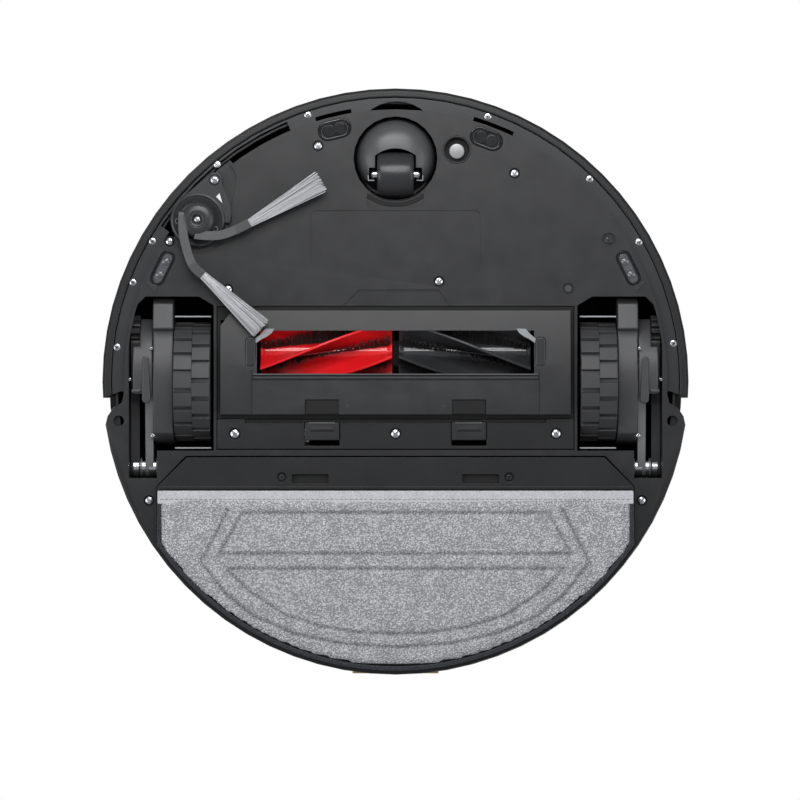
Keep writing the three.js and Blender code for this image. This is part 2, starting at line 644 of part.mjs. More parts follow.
function bumperShell() {
  const low = PLATE_BOTTOM + 1.4;
  const profile = [
    [BAND_INNER, low + 0.4], [BAND_INNER + 1, low], [BODY_RADIUS - 1.6, low], [BODY_RADIUS, low + 2],
    [BODY_RADIUS, BUMPER_TOP - 1.6], [BODY_RADIUS - 1.4, BUMPER_TOP], [BUMPER_INNER, BUMPER_TOP],
    [BUMPER_INNER, low + 3.6], [BAND_INNER, low + 3.6],
  ];
  const shell = turned(profile, 72).intersect(bumperReach());
  const floor = BODY_RADIUS - 1.9;
  const margin = THREE.MathUtils.radToDeg(FIT_GAP / BODY_RADIUS);
  const halfAngle = WINDOW_HALF_ANGLE + margin;
  const pocket = arcBand(floor, BODY_RADIUS + 5, halfAngle, WINDOW_LOW - FIT_GAP, WINDOW_HIGH + FIT_GAP);
  return piece("bumper_shell", shell.subtract(pocket), SATIN_BLACK);
}

// The flat lip inside the bumper's lower edge, narrow where the side brush swings out.
function bumperLip() {
  const gap = sector(LIP_GAP_FROM, LIP_GAP_TO, LIP_OUTER - 1.5, 0, BODY_HEIGHT);
  const lip = ring(LIP_INNER, LIP_OUTER, INSIDE_FLOOR, LIP_TOP).intersect(bumperReach());
  return piece("bumper_lip", lip.subtract(gap), SATIN_BLACK);
}

function sensorWindow() {
  const inner = BODY_RADIUS - 1.6;
  const band = arcBand(inner, BODY_RADIUS - 0.1, WINDOW_HALF_ANGLE, WINDOW_LOW, WINDOW_HIGH);
  return piece("sensor_window", band, GLOSS_BLACK);
}

// ---- Wheel modules --------------------------------------------------------------------------

const TAU = 2 * Math.PI;

// A gear's outline: trapezoid teeth, one of them pointing along the start angle.
function gearTeeth(centreY, centreZ, pitchRadius, teethInTurn, startAngle, from, to) {
  const addendum = 0.95;
  const dedendum = 1.5;
  const halfTip = 0.35 / pitchRadius;
  const halfRoot = 1.15 / pitchRadius;
  const outline = [];
  for (let tooth = from; tooth <= to; tooth++) {
    const angle = startAngle + (TAU * tooth) / teethInTurn;
    const corners = [
      [pitchRadius - dedendum, angle - halfRoot], [pitchRadius + addendum, angle - halfTip],
      [pitchRadius + addendum, angle + halfTip], [pitchRadius - dedendum, angle + halfRoot],
    ];
    for (const [radius, turn] of corners) {
      const y = centreY + radius * Math.cos(turn);
      outline.push(new THREE.Vector2(y, centreZ + radius * Math.sin(turn)));
    }
  }
  return outline;
}

function swingArm(side) {
  const tip = new THREE.Vector2(-8, PIVOT_Z - 7);
  const pivot = new THREE.Vector2(PIVOT_Y, PIVOT_Z);
  const strip = acrossX(strap(tip, 7, pivot, PIVOT_EYE_RADIUS), side * ARM_INNER, side * ARM_OUTER);
  const eyeInner = side * (SLOT_INNER + 0.7);
  const eye = rod(PIVOT_Y, PIVOT_Z, PIVOT_EYE_RADIUS, eyeInner, side * (SECTOR_INNER - FIT_GAP));
  const bore = rod(PIVOT_Y, PIVOT_Z, PIVOT_PIN_RADIUS + FIT_GAP, 0, side * BODY_RADIUS);
  return strip.add(eye).subtract(bore);
}

// The drive's case, with the wheel's axle standing out of it.
function gearbox(side) {
  const low = PLATE_BOTTOM + 2.5;
  const r = WHEEL_RADIUS;
  const outline = points(
    [WELL_FRONT + 0.6, low + 5], [WELL_FRONT + 5, low], [-r + 6, low], [-r + 12, low - 1.5],
    [r - 16, low - 1.5], [r - 3, low + 4], [r + 1.2, low + 12], [r + 3, r + 12], [r - 8, r + 22],
    [-r + 12, r + 26], [WELL_FRONT + 8, r + 10], [WELL_FRONT + 0.6, r],
  );
  const swingReach = PIVOT_Y - WELL_FRONT - RUNNING_GAP;
  const swing = rod(PIVOT_Y, PIVOT_Z, swingReach, -BODY_RADIUS, BODY_RADIUS);
  const shell = acrossX(outline, side * GEARBOX_INNER, side * GEARBOX_OUTER).intersect(swing);
  return shell.add(rod(0, r, AXLE_RADIUS, side * (TYRE_INNER + 1), side * (GEARBOX_INNER + 1)));
}

// The curved skid under the lift gear.
function liftGuard(side) {
  const centreY = -6;
  const centreZ = PLATE_BOTTOM + 40;
  const band = [...arc(centreY, centreZ, 40, -143, -70), ...arc(centreY, centreZ, 37, -70, -143)];
  const guard = acrossX(band, side * ARM_INNER, side * GUARD_OUTER);
  const edge = side * (SECTOR_INNER - 0.6);
  const pinionRoom = block(edge, side * BODY_RADIUS, -BODY_RADIUS, PINION_Y + 10.6, 0, BODY_HEIGHT);
  return guard.subtract(pinionRoom);
}

// The toothed quadrant that the pinion drives to lift or drop the wheel.
function liftSector(side) {
  const teeth = gearTeeth(PIVOT_Y, PIVOT_Z, SECTOR_PITCH_RADIUS, SECTOR_TEETH, Math.PI, -8, 1);
  const eye = arc(PIVOT_Y, PIVOT_Z, PIVOT_EYE_RADIUS, 240, 110 + 360);
  const quadrant = acrossX([...teeth, ...eye], side * SECTOR_INNER, side * SECTOR_OUTER);
  const bore = rod(PIVOT_Y, PIVOT_Z, PIVOT_PIN_RADIUS + FIT_GAP, 0, side * BODY_RADIUS);
  return quadrant.subtract(bore);
}

function pinion(side) {
  const gap = Math.PI / PINION_TEETH;
  const teeth = gearTeeth(PINION_Y, PIVOT_Z, PINION_PITCH_RADIUS, PINION_TEETH, gap, 0, PINION_TEETH - 1);
  const gear = acrossX(teeth, side * (SECTOR_INNER - 0.2), side * SECTOR_OUTER);
  return gear.add(rod(PINION_Y, PIVOT_Z, 2.5, side * ARM_OUTER, side * (SECTOR_INNER + 1)));
}

// One row of the tyre's blocks, on the wheel's own axis.
function lugRow(x0, x1, phase) {
  const root = WHEEL_RADIUS - LUG_HEIGHT;
  const outline = [];
  for (let lug = 0; lug < TYRE_LUGS; lug++) {
    const middle = (TAU * (lug + phase)) / TYRE_LUGS;
    const half = TAU / TYRE_LUGS / 2;
    for (const [radius, share] of [[root, -0.62], [WHEEL_RADIUS, -0.5], [WHEEL_RADIUS, 0.5], [root, 0.62]]) {
      const angle = middle + share * half;
      outline.push(new THREE.Vector2(radius * Math.cos(angle), radius * Math.sin(angle)));
    }
  }
  return acrossX(outline, x0, x1);
}

const RIM_RADIUS_SHARE = 0.75;

function tyre() {
  const half = TYRE_WIDTH / 2;
  const phase = TYRE_LUGS / 4;
  const rows = lugRow(-half, 0, phase).add(lugRow(0, half, phase + 0.5));
  return rows.subtract(rod(0, 0, RIM_RADIUS_SHARE * WHEEL_RADIUS, -TYRE_WIDTH, TYRE_WIDTH));
}

function wheelHub() {
  const half = TYRE_WIDTH / 2;
  const rim = RIM_RADIUS_SHARE * WHEEL_RADIUS - FIT_GAP - 0.2;
  const disk = rod(0, 0, rim, -half, half);
  const recess = rod(0, 0, rim - 4, -half - 1, -half + 4).subtract(rod(0, 0, 9, -half - 2, half));
  const bore = rod(0, 0, AXLE_RADIUS + FIT_GAP, -half - 1, half + 1);
  return disk.subtract(recess).subtract(bore);
}

function wheelModule(label, side) {
  const wheelX = side * (TYRE_INNER + TYRE_OUTER) / 2;
  const wheel = group(
    [piece(label + "_hub", wheelHub(), DARK_GREY), piece(label + "_tyre", tyre(), RUBBER)],
    wheelX, 0, WHEEL_RADIUS,
  );
  return [
    piece(label + "_swing_arm", swingArm(side), STEEL),
    piece(label + "_gearbox", gearbox(side), DARK_GREY),
    piece(label + "_lift_guard", liftGuard(side), SATIN_BLACK),
    piece(label + "_lift_sector", liftSector(side), STEEL),
    piece(label + "_lift_pinion", pinion(side), STEEL),
    pivotPin(label + "_pivot_pin", side),
    wheelHouse(label + "_wheel_house", side),
    chargeContact(label + "_charge_contact", side),
    wheel,
  ];
}

// ---- Caster ---------------------------------------------------------------------------------

function caster() {
  const wheelZ = CASTER_WHEEL_RADIUS;
  const face = PLATE_BOTTOM - 3.5;
  const profile = [
    [0, face], [YOKE_RADIUS * 0.4, face + 0.2], [YOKE_RADIUS * 0.78, face + 1.6],
    [YOKE_RADIUS - 0.4, face + 3.9], [YOKE_RADIUS, face + 5.5], [YOKE_RADIUS, face + 8.5],
    [YOKE_RADIUS - 1.5, face + 9.5], [YOKE_RADIUS - 1.5, FORK_TOP], [STEM_RADIUS, FORK_TOP],
    [STEM_RADIUS, STEM_TOP], [0, STEM_TOP],
  ];
  const half = CASTER_WHEEL_HALF + RUNNING_GAP;
  const front = CASTER_TRAIL - CASTER_WHEEL_RADIUS - RUNNING_GAP;
  const slotTop = 2 * CASTER_WHEEL_RADIUS + RUNNING_GAP;
  const slot = block(-half, half, front, 2 * YOKE_RADIUS, -1, slotTop);
  const axleHalf = CASTER_WHEEL_HALF + 4;
  const grip = 1.5 + FIT_GAP;
  const seat = rod(CASTER_TRAIL, wheelZ, grip, -axleHalf - FIT_GAP, axleHalf + FIT_GAP);
  const y0 = CASTER_TRAIL - grip;
  const entry = block(-axleHalf - FIT_GAP, axleHalf + FIT_GAP, y0, y0 + 2 * grip, -1, wheelZ);
  const yoke = turned(profile, 24).subtract(slot).subtract(seat).subtract(entry);
  const axle = rod(CASTER_TRAIL, wheelZ, 1.5, -axleHalf, axleHalf);
  const end = CASTER_WHEEL_HALF;
  const barrel = [
    [grip, -end], [wheelZ - 2.4, -end], [wheelZ - 0.9, -end * 0.7], [wheelZ, -end * 0.3],
    [wheelZ, end * 0.3], [wheelZ - 0.9, end * 0.7], [wheelZ - 2.4, end], [grip, end],
  ];
  const roller = piece("caster_roller", turned(barrel, 16), DARK_GREY);
  roller.rotation.y = Math.PI / 2;
  roller.position.set(0, CASTER_TRAIL, wheelZ);
  return group(
    [piece("caster_yoke", yoke, SATIN_BLACK), piece("caster_axle", axle, STEEL), roller],
    0, CASTER_Y,
  );
}

// ---- Side brush -----------------------------------------------------------------------------

const BRUSH_SHAFT_RADIUS = 3;
const BRUSH_HUB_RADIUS = 10.8;
const BRUSH_HUB_TOP = ARM_BOTTOM - FIT_GAP;
const FLEX_WIDTH = 5.4;
const TUFT_LOW = 1;
const TUFT_HIGH = 4;

// The two rubber arms' middle lines from the hub's rim outwards, and where each tuft's tip lies.
const FLEX_ARMS = [
  { route: [[-11.6, 2], [-7.8, 14], [-3, 27.6], [3.6, 33.2]], tip: [38.5, 65.8] },
  { route: [[4, 11.2], [13.2, 9.2], [31.6, 2]], tip: [74.5, -23.2] },
];

function sideBrushArm() {
  const outline = strap(BRUSH_HUB, ARM_DISC_RADIUS, ARM_PIVOT, ARM_PIVOT_RADIUS);
  const plate = slab(outline, ARM_BOTTOM, ARM_TOP);
  const boss = disc(ARM_PIVOT.x, ARM_PIVOT.y, ARM_BOSS_RADIUS, ARM_BOTTOM + 1, POCKET_TOP);
  const socket = disc(BRUSH_HUB.x, BRUSH_HUB.y, BRUSH_SHAFT_RADIUS + FIT_GAP, 0, ARM_TOP - 1);
  return piece("side_brush_arm", plate.add(boss).subtract(socket), DARK_GREY);
}

// The motor stands in the chassis beside the arm's pivot, and drives the brush through the arm.
function sideBrushMotor() {
  const low = POCKET_TOP + FIT_GAP;
  const place = ARM_PIVOT.clone().add(new THREE.Vector2(10, 13));
  const can = disc(place.x, place.y, 11, low, low + 22);
  return piece("side_brush_motor", can.add(disc(place.x, place.y, 4, low, low + 25)), STEEL);
}

function sideBrushHub() {
  const low = TUFT_LOW + 2;
  const profile = [
    [0, low], [5, low + 0.1], [9, low + 1], [BRUSH_HUB_RADIUS, low + 2.6],
    [BRUSH_HUB_RADIUS, BRUSH_HUB_TOP], [BRUSH_SHAFT_RADIUS, BRUSH_HUB_TOP],
    [BRUSH_SHAFT_RADIUS, ARM_TOP - 1.4], [0, ARM_TOP - 1.4],
  ];
  return turned(profile, 16);
}

function sideBrushFlex() {
  const [low, high] = [2.5, 6.5];
  const inner = BRUSH_HUB_RADIUS + FIT_GAP;
  let flex = disc(0, 0, inner + 1.6, low + 1, high);
  for (const arm of FLEX_ARMS) {
    const route = points(...arm.route);
    for (let i = 1; i < route.length; i++) {
      flex = flex.add(slab(strap(route[i - 1], FLEX_WIDTH / 2, route[i], FLEX_WIDTH / 2), low, high));
    }
  }
  return flex.subtract(disc(0, 0, inner, 0, high + 1));
}

// A fan of bristles from the end of a rubber arm to its tip.
function bristleTuft({ route, tip }) {
  const root = new THREE.Vector2(...route[route.length - 1]);
  const end = new THREE.Vector2(...tip);
  const along = end.clone().sub(root).normalize();
  const across = new THREE.Vector2(-along.y, along.x);
  root.addScaledVector(along, FLEX_WIDTH / 2 + 0.4);
  const corner = (from, offset) => from.clone().addScaledVector(across, offset);
  const outline = [corner(root, -2.5), corner(end, -6.5), corner(end, 6.5), corner(root, 2.5)];
  return slab(outline, TUFT_LOW, TUFT_HIGH);
}

function sideBrush() {
  return group(
    [
      piece("side_brush_hub", sideBrushHub(), SATIN_BLACK),
      piece("side_brush_flex", sideBrushFlex(), MID_GREY),
      piece("bristle_tuft_a", bristleTuft(FLEX_ARMS[0]), PALE_GREY),
      piece("bristle_tuft_b", bristleTuft(FLEX_ARMS[1]), PALE_GREY),
    ],
    BRUSH_HUB.x, BRUSH_HUB.y,
  );
}

// ---- Main brush -----------------------------------------------------------------------------

// A finned roller: straight fins, then twisted about its axis along its length.
function finnedRoller(side) {
  const length = ROLLER_END - ROLLER_SPLIT;
  const outline = [];
  for (let fin = 0; fin < ROLLER_FINS; fin++) {
    const middle = (TAU * (fin + 0.5)) / ROLLER_FINS;
    const half = TAU / ROLLER_FINS / 2;
    const corners = [
      [ROLLER_CORE_RADIUS, -0.7], [ROLLER_RADIUS, -0.12], [ROLLER_RADIUS, 0.12], [ROLLER_CORE_RADIUS, 0.7],
    ];
    for (const [radius, share] of corners) {
      const angle = middle + share * half;
      outline.push(new THREE.Vector2(radius * Math.cos(angle), radius * Math.sin(angle)));
    }
  }
  const shape = new THREE.Shape(outline);
  const geometry = new THREE.ExtrudeGeometry(shape, { depth: length, steps: 8, bevelEnabled: false });
  const place = geometry.attributes.position;
  const vertex = new THREE.Vector3();
  const axis = new THREE.Vector3(0, 0, 1);
  for (let i = 0; i < place.count; i++) {
    vertex.fromBufferAttribute(place, i);
    const turn = (side * THREE.MathUtils.degToRad(ROLLER_TWIST) * vertex.z) / length;
    vertex.applyAxisAngle(axis, turn);
    place.setXYZ(i, vertex.x, vertex.y, vertex.z);
  }
  return solid(geometry);
}

function roller(name, side, finish) {
  const mesh = piece(name, finnedRoller(side), finish);
  mesh.rotation.set(0, (side * Math.PI) / 2, 0);
  mesh.position.set(side * ROLLER_SPLIT, ROLLER_Y, ROLLER_Z);
  return mesh;
}

function brushCover() {
  const half = BAY_HALF - 2.5;
  const front = BAY_FRONT + 2.7;
  const top = PLATE_BOTTOM;
  const mouthEnd = ROLLER_END + 2;
  const outline = points(
    [-half + 7, front], [half, front], [half, COVER_REAR], [-half, COVER_REAR], [-half, front + 9],
  );
  const rim = 2.2;
  const hollow = points(
    [-half + rim + 7, front + rim], [half - rim, front + rim], [half - rim, COVER_REAR - rim],
    [-half + rim, COVER_REAR - rim], [-half + rim, front + rim + 9],
  );
  let cover = slab(outline, COVER_BOTTOM, top);
  cover = cover.subtract(slab(hollow, COVER_BOTTOM + COVER_SKIN, top + 1));
  const [south, north] = [ROLLER_Y - MOUTH_HALF, ROLLER_Y + MOUTH_HALF];
  cover = cover.subtract(block(-mouthEnd, mouthEnd, south, north, 0, top));
  for (const side of [-1, 1]) {
    const [x0, x1] = [side * LATCH_X - LATCH_HALF, side * LATCH_X + LATCH_HALF];
    const grip = COVER_REAR - 8.9;
    cover = cover.add(block(x0 - 2, x1 + 2, grip - 2, COVER_REAR, COVER_BOTTOM, top));
    cover = cover.subtract(block(x0, x1, grip, COVER_REAR + 1, 0, COVER_BOTTOM + 4));
  }
  return piece("brush_cover", cover, SATIN_BLACK);
}

function coverLatch(name, side) {
  const [x0, x1] = [side * LATCH_X - LATCH_HALF, side * LATCH_X + LATCH_HALF];
  const rear = LATCH_FRONT + LATCH_LENGTH;
  const tab = block(x0, x1, LATCH_FRONT, rear, PLATE_BOTTOM - 2.2, PLATE_TOP - 0.5);
  const ridge = block(x0 + 3, x1 - 3, LATCH_FRONT + 3, LATCH_FRONT + 5, PLATE_BOTTOM - 3, PLATE_BOTTOM);
  return piece(name, tab.add(ridge), SATIN_BLACK);
}

// ---- Mop ------------------------------------------------------------------------------------

function mopPlate() {
  const plate = slab(mopPlateOutline(0), PAD_THICKNESS + FIT_GAP, MOP_PLATE_TOP);
  return piece("mop_plate", plate, SATIN_BLACK);
}

function mopPad() {
  const outline = mopOutline(PAD_FRONT, MOP_HALF, MOP_RADIUS, MOP_HALF);
  return piece("mop_pad", slab(outline, 0, PAD_THICKNESS), PALE_GREY);
}

// ---- Top ------------------------------------------------------------------------------------

function topLid() {
  const ahead = block(-BODY_RADIUS, BODY_RADIUS, -BODY_RADIUS, LID_REAR, 0, BODY_HEIGHT + 1);
  const lid = disc(0, 0, SKIRT_RADIUS, LID_BOTTOM, BODY_HEIGHT).intersect(ahead);
  return piece("top_lid", lid, SATIN_BLACK);
}

function button(name, side) {
  const cap = disc(0, 0, BUTTON_RADIUS, DECK_BOTTOM + 1, BODY_HEIGHT - 0.1);
  return group([piece(name, cap, DARK_GREY)], side * BUTTON_X, BUTTON_Y);
}

// The range finder's turret, a spool that rises out of the deck.
function lidarTurret() {
  const top = BODY_HEIGHT - 0.3;
  const r = TURRET_RADIUS;
  const profile = [
    [0, TURRET_BOTTOM], [r - 2, TURRET_BOTTOM], [r - 2, TURRET_BOTTOM + 3], [r - 10, TURRET_BOTTOM + 3],
    [r - 10, top - 3], [r, top - 3], [r, top - 0.8], [r - 0.8, top], [0, top],
  ];
  return group([piece("lidar_turret", turned(profile, 32), DARK_GREY)], 0, TURRET_Y);
}

// ---- Assembly -------------------------------------------------------------------------------

const chassis = [
  basePlate(), sideShell(), topDeck(), casterSocket(), carpetSensor(), ...FLOOR_SENSORS.map(floorSensor),
  batteryPack(), mainBoard(), suctionFan(), dustBin(), brushHousing(), brushMotor(), brushPlate(),
  waterTank(),
];
const bumper = [bumperShell(), bumperLip(), sensorWindow()];
const mainBrush = [
  roller("red_roller", -1, RED),
  roller("black_roller", 1, RUBBER),
  brushCover(),
  coverLatch("left_cover_latch", -1),
  coverLatch("right_cover_latch", 1),
];
const top = [topLid(), button("power_button", -1), button("home_button", 1), lidarTurret()];

const robot = group([
  ...chassis,
  ...bumper,
  ...wheelModule("left", -1),
  ...wheelModule("right", 1),
  caster(),
  sideBrushArm(),
  sideBrushMotor(),
  sideBrush(),
  ...mainBrush,
  mopPlate(),
  mopPad(),
  ...top,
]);
robot.name = "robot_vacuum";

export default robot;
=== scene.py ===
"""Robot vacuum and mop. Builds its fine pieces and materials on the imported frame."""
import math
import random

import bmesh
import bpy
import numpy
from mathutils import Matrix, Vector, noise


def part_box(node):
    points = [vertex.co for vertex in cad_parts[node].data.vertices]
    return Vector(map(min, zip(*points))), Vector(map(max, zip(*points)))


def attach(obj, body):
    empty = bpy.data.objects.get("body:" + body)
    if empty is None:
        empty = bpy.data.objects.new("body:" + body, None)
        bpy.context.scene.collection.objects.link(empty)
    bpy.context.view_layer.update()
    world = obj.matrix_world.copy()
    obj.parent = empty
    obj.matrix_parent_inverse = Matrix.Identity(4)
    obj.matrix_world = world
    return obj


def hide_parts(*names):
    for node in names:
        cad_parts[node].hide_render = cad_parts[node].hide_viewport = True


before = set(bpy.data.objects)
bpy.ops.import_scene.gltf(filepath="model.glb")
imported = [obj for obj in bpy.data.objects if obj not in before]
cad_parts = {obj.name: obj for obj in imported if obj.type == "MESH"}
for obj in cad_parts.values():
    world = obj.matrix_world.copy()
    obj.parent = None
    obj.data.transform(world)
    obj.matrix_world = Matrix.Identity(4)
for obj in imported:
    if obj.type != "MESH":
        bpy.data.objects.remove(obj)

bl_info = {
    "name": "Robot vacuum and mop",
    "version": (1, 0, 0),
    "blender": (4, 5, 0),
    "location": "View3D > Sidebar > Robot",
    "description": "Builds a robot vacuum and mop on its packed frame, piece by piece",
    "category": "Object",
}

MM = 0.001
SIDES = {"left": -1, "right": 1}


# ---- Sizes and colours ----------------------------------------------------------------------

def length(name, description, millimetres):
    """A size property, given in millimetres and kept in metres."""
    return bpy.props.FloatProperty(
        name=name, description=description, default=millimetres * MM, min=0.0,
        subtype="DISTANCE", unit="LENGTH", precision=5,
    )


def tint(name, description, red, green, blue):
    """A colour property, in linear light."""
    return bpy.props.FloatVectorProperty(
        name=name, description=description, default=(red, green, blue), size=3,
        min=0.0, max=1.0, subtype="COLOR",
    )


class RobotSizes(bpy.types.PropertyGroup):
    """Sizes of the fine pieces."""

    edge: length("Edge rounding", "Radius on the edges of moulded pieces", 0.35)
    screw: length("Screw head", "Radius of a screw's head in the base", 2.4)
    lip_screw: length("Lip screw head", "Radius of a screw's head in the bumper's lip", 2.0)
    recess: length("Screw recess", "Width of the dark ring round a screw", 0.9)
    label_depth: length("Label recess", "Depth of the blank label's recess", 0.5)
    fin: length("Roller fin", "Thickness of a roller's rubber fin at its root", 2.6)
    strand: length("Bristle", "Radius of one side brush bristle", 0.24)
    strands: bpy.props.IntProperty(
        name="Bristles", description="Bristles in each tuft of the side brush", default=150, min=10,
    )
    pile: length("Pile", "Height of the mop cloth's loops", 0.55)
    channel: length("Channel", "Depth of the mop cloth's sewn channels", 1.5)


class RobotColours(bpy.types.PropertyGroup):
    """Colours of the finishes."""

    body: tint("Body", "Satin black mouldings", 0.012, 0.0122, 0.013)
    arm: tint("Arm", "Dark grey mouldings", 0.028, 0.029, 0.031)
    rubber: tint("Tyre", "Tyre rubber", 0.046, 0.0465, 0.048)
    flex: tint("Brush arm", "Soft rubber of the side brush", 0.085, 0.086, 0.090)
    red: tint("Red roller", "Red roller's rubber", 0.80, 0.008, 0.012)
    bristles: tint("Bristles", "Side brush bristles", 0.62, 0.625, 0.64)
    steel: tint("Steel", "Screws and axles", 0.62, 0.63, 0.65)
    cloth: tint("Cloth", "Mop cloth", 0.50, 0.505, 0.525)
    binding: tint("Binding", "Mop cloth's bound edge", 0.060, 0.064, 0.072)


def mm(name):
    """One of the size properties, in millimetres."""
    return getattr(bpy.context.scene.robot_sizes, name) / MM


def colour(name):
    """One of the colour properties, as a list of three numbers."""
    return list(getattr(bpy.context.scene.robot_colours, name))


# ---- Outlines, in millimetres -----------------------------------------------------------------

def arc(x, y, radius, start, end, steps=12):
    """Points along an arc, its angles in degrees."""
    turns = [math.radians(start + (end - start) * i / steps) for i in range(steps + 1)]
    return [(x + radius * math.cos(turn), y + radius * math.sin(turn)) for turn in turns]


def box_outline(x0, x1, y0, y1, radius=0.0, steps=4):
    """A rectangle's corners, rounded where a radius is given."""
    if not radius:
        return [(x0, y0), (x1, y0), (x1, y1), (x0, y1)]
    corners = [(x1, y0, -90), (x1, y1, 0), (x0, y1, 90), (x0, y0, 180)]
    outline = []
    for x, y, start in corners:
        inset_x = x - math.copysign(radius, x - (x0 + x1) / 2)
        inset_y = y - math.copysign(radius, y - (y0 + y1) / 2)
        outline += arc(inset_x, inset_y, radius, start, start + 90, steps)
    return outline


def strap(a, a_radius, b, b_radius, steps=14):
    """The outline of a belt round two discs."""
    (ax, ay), (bx, by) = a, b
    gap = math.hypot(bx - ax, by - ay)
    heading = math.degrees(math.atan2(by - ay, bx - ax))
    spread = math.degrees(math.acos((a_radius - b_radius) / gap))
    far = arc(bx, by, b_radius, heading - spread, heading + spread, steps)
    near = arc(ax, ay, a_radius, heading + spread, heading + 360 - spread, steps)
    return far + near


def band(inner, outer, start, end, steps=24):
    """The outline of a stretch of ring round the body's middle."""
    return arc(0, 0, outer, start, end, steps) + arc(0, 0, inner, end, start, steps)


def smooth_route(route, steps=6):
    """A smooth line through a few points."""
    padded = [route[0], *route, route[-1]]
    line = []
    for a, b, c, d in zip(padded, padded[1:], padded[2:], padded[3:]):
        for i in range(steps):
            t = i / steps
            line.append(tuple(
                0.5 * (2 * q + (r - p) * t + (2 * p - 5 * q + 4 * r - s) * t * t
                       + (3 * q - p - 3 * r + s) * t ** 3)
                for p, q, r, s in zip(a, b, c, d)
            ))
    return [*line, route[-1]]


def ribbon(line, half_widths):
    """The outline of a strip along a line, with its half width at each point."""
    left, right = [], []
    for i, (x, y) in enumerate(line):
        before, after = line[max(i - 1, 0)], line[min(i + 1, len(line) - 1)]
        dx, dy = after[0] - before[0], after[1] - before[1]
        size = math.hypot(dx, dy)
        across = (-dy / size * half_widths[i], dx / size * half_widths[i])
        left.append((x + across[0], y + across[1]))
        right.append((x - across[0], y - across[1]))
    return right + left[::-1]


# ---- Shapes, in millimetres -------------------------------------------------------------------

def eased(shape, width, segments=2, angle=30):
    """Rounds the edges that are sharper than an angle."""
    if width <= 0:
        return shape
    limit = math.radians(angle)
    edges = [edge for edge in shape.edges if edge.is_manifold and edge.calc_face_angle(0) > limit]
    bmesh.ops.bevel(
        shape, geom=edges, offset=width, offset_type="OFFSET", segments=segments, profile=0.5,
        affect="EDGES", material=-1, clamp_overlap=True,
    )
    return shape


def closed(shape):
    """Merges doubles and turns every face outwards."""
    bmesh.ops.remove_doubles(shape, verts=shape.verts, dist=1e-4)
    bmesh.ops.recalc_face_normals(shape, faces=shape.faces)
    return shape


def prism(outline, low, high, ease=0.0, segments=2):
    """An outline raised from one height to another."""
    shape = bmesh.new()
    face = shape.faces.new([shape.verts.new((x, y, low)) for x, y in outline])
    raised = bmesh.ops.extrude_face_region(shape, geom=[face])["geom"]
    top = [item for item in raised if isinstance(item, bmesh.types.BMVert)]
    bmesh.ops.translate(shape, verts=top, vec=(0, 0, high - low))
    return eased(closed(shape), ease, segments)


def turned(profile, steps=48, ring=False, ease=0.0, segments=2):
    """A profile of (radius, height) points spun about the vertical axis."""
    shape = bmesh.new()
    points = [shape.verts.new((radius, 0, height)) for radius, height in profile]
    lines = [shape.edges.new(pair) for pair in zip(points, points[1:])]
    if ring:
        lines.append(shape.edges.new((points[-1], points[0])))
    bmesh.ops.spin(
        shape, geom=points + lines, cent=(0, 0, 0), axis=(0, 0, 1), angle=math.tau, steps=steps,
        use_merge=True, use_duplicate=False,
    )
    return eased(closed(shape), ease, segments)


def block(x0, x1, y0, y1, z0, z1, ease=0.0, segments=2):
    """A rectangular block."""
    shape = bmesh.new()
    bmesh.ops.create_cube(shape, size=1)
    bmesh.ops.scale(shape, verts=shape.verts, vec=(x1 - x0, y1 - y0, z1 - z0))
    middle = ((x0 + x1) / 2, (y0 + y1) / 2, (z0 + z1) / 2)
    bmesh.ops.translate(shape, verts=shape.verts, vec=middle)
    return eased(shape, ease, segments)


def peg(radius, low, high, ease=0.0, steps=32, segments=2, tip=None):
    """A round peg on the vertical axis, with another radius at its low end where one is given."""
    shape = bmesh.new()
    bmesh.ops.create_cone(
        shape, cap_ends=True, segments=steps, radius1=radius if tip is None else tip,
        radius2=radius, depth=high - low,
    )
    bmesh.ops.translate(shape, verts=shape.verts, vec=(0, 0, (low + high) / 2))
    return eased(shape, ease, segments)


def along_x(shape, x=0.0, y=0.0, z=0.0):
    """Lays a shape's vertical axis along X and moves it."""
    place = Matrix.Translation((x, y, z)) @ Matrix.Rotation(math.radians(90), 4, "Y")
    bmesh.ops.transform(shape, matrix=place, verts=shape.verts)
    return shape


def moved(shape, x=0.0, y=0.0, z=0.0, turn=0.0):
    """Turns a shape about the vertical axis, in degrees, and moves it."""
    place = Matrix.Translation((x, y, z)) @ Matrix.Rotation(math.radians(turn), 4, "Z")
    bmesh.ops.transform(shape, matrix=place, verts=shape.verts)
    return shape


def mirrored(shape):
    """The same shape on the other side of the body."""
    bmesh.ops.scale(shape, verts=shape.verts, vec=(-1, 1, 1))
    bmesh.ops.recalc_face_normals(shape, faces=shape.faces)
    return shape


def joined(shapes):
    """Puts several shapes into one."""
    whole = bmesh.new()
    for shape in shapes:
        mesh = bpy.data.meshes.new("shape")
        shape.to_mesh(mesh)
        shape.free()
        whole.from_mesh(mesh)
        bpy.data.meshes.remove(mesh)
    return whole


def shown(name, shape):
    """A scene object of a shape."""
    mesh = bpy.data.meshes.new(name)
    shape.to_mesh(mesh)
    shape.free()
    thing = bpy.data.objects.new(name, mesh)
    bpy.context.scene.collection.objects.link(thing)
    return thing


def cut(shape, tools):
    """A shape with the tools' room taken out of it."""
    body = shown("cut_body", shape)
    cutter = shown("cutter", joined(tools))
    boolean = body.modifiers.new("cut", "BOOLEAN")
    boolean.object = cutter
    boolean.solver = "EXACT"
    boolean.use_self = True
    result = bmesh.new()
    result.from_object(body, bpy.context.evaluated_depsgraph_get())
    for thing in (body, cutter):
        mesh = thing.data
        bpy.data.objects.remove(thing)
        bpy.data.meshes.remove(mesh)
    return flattened(result)


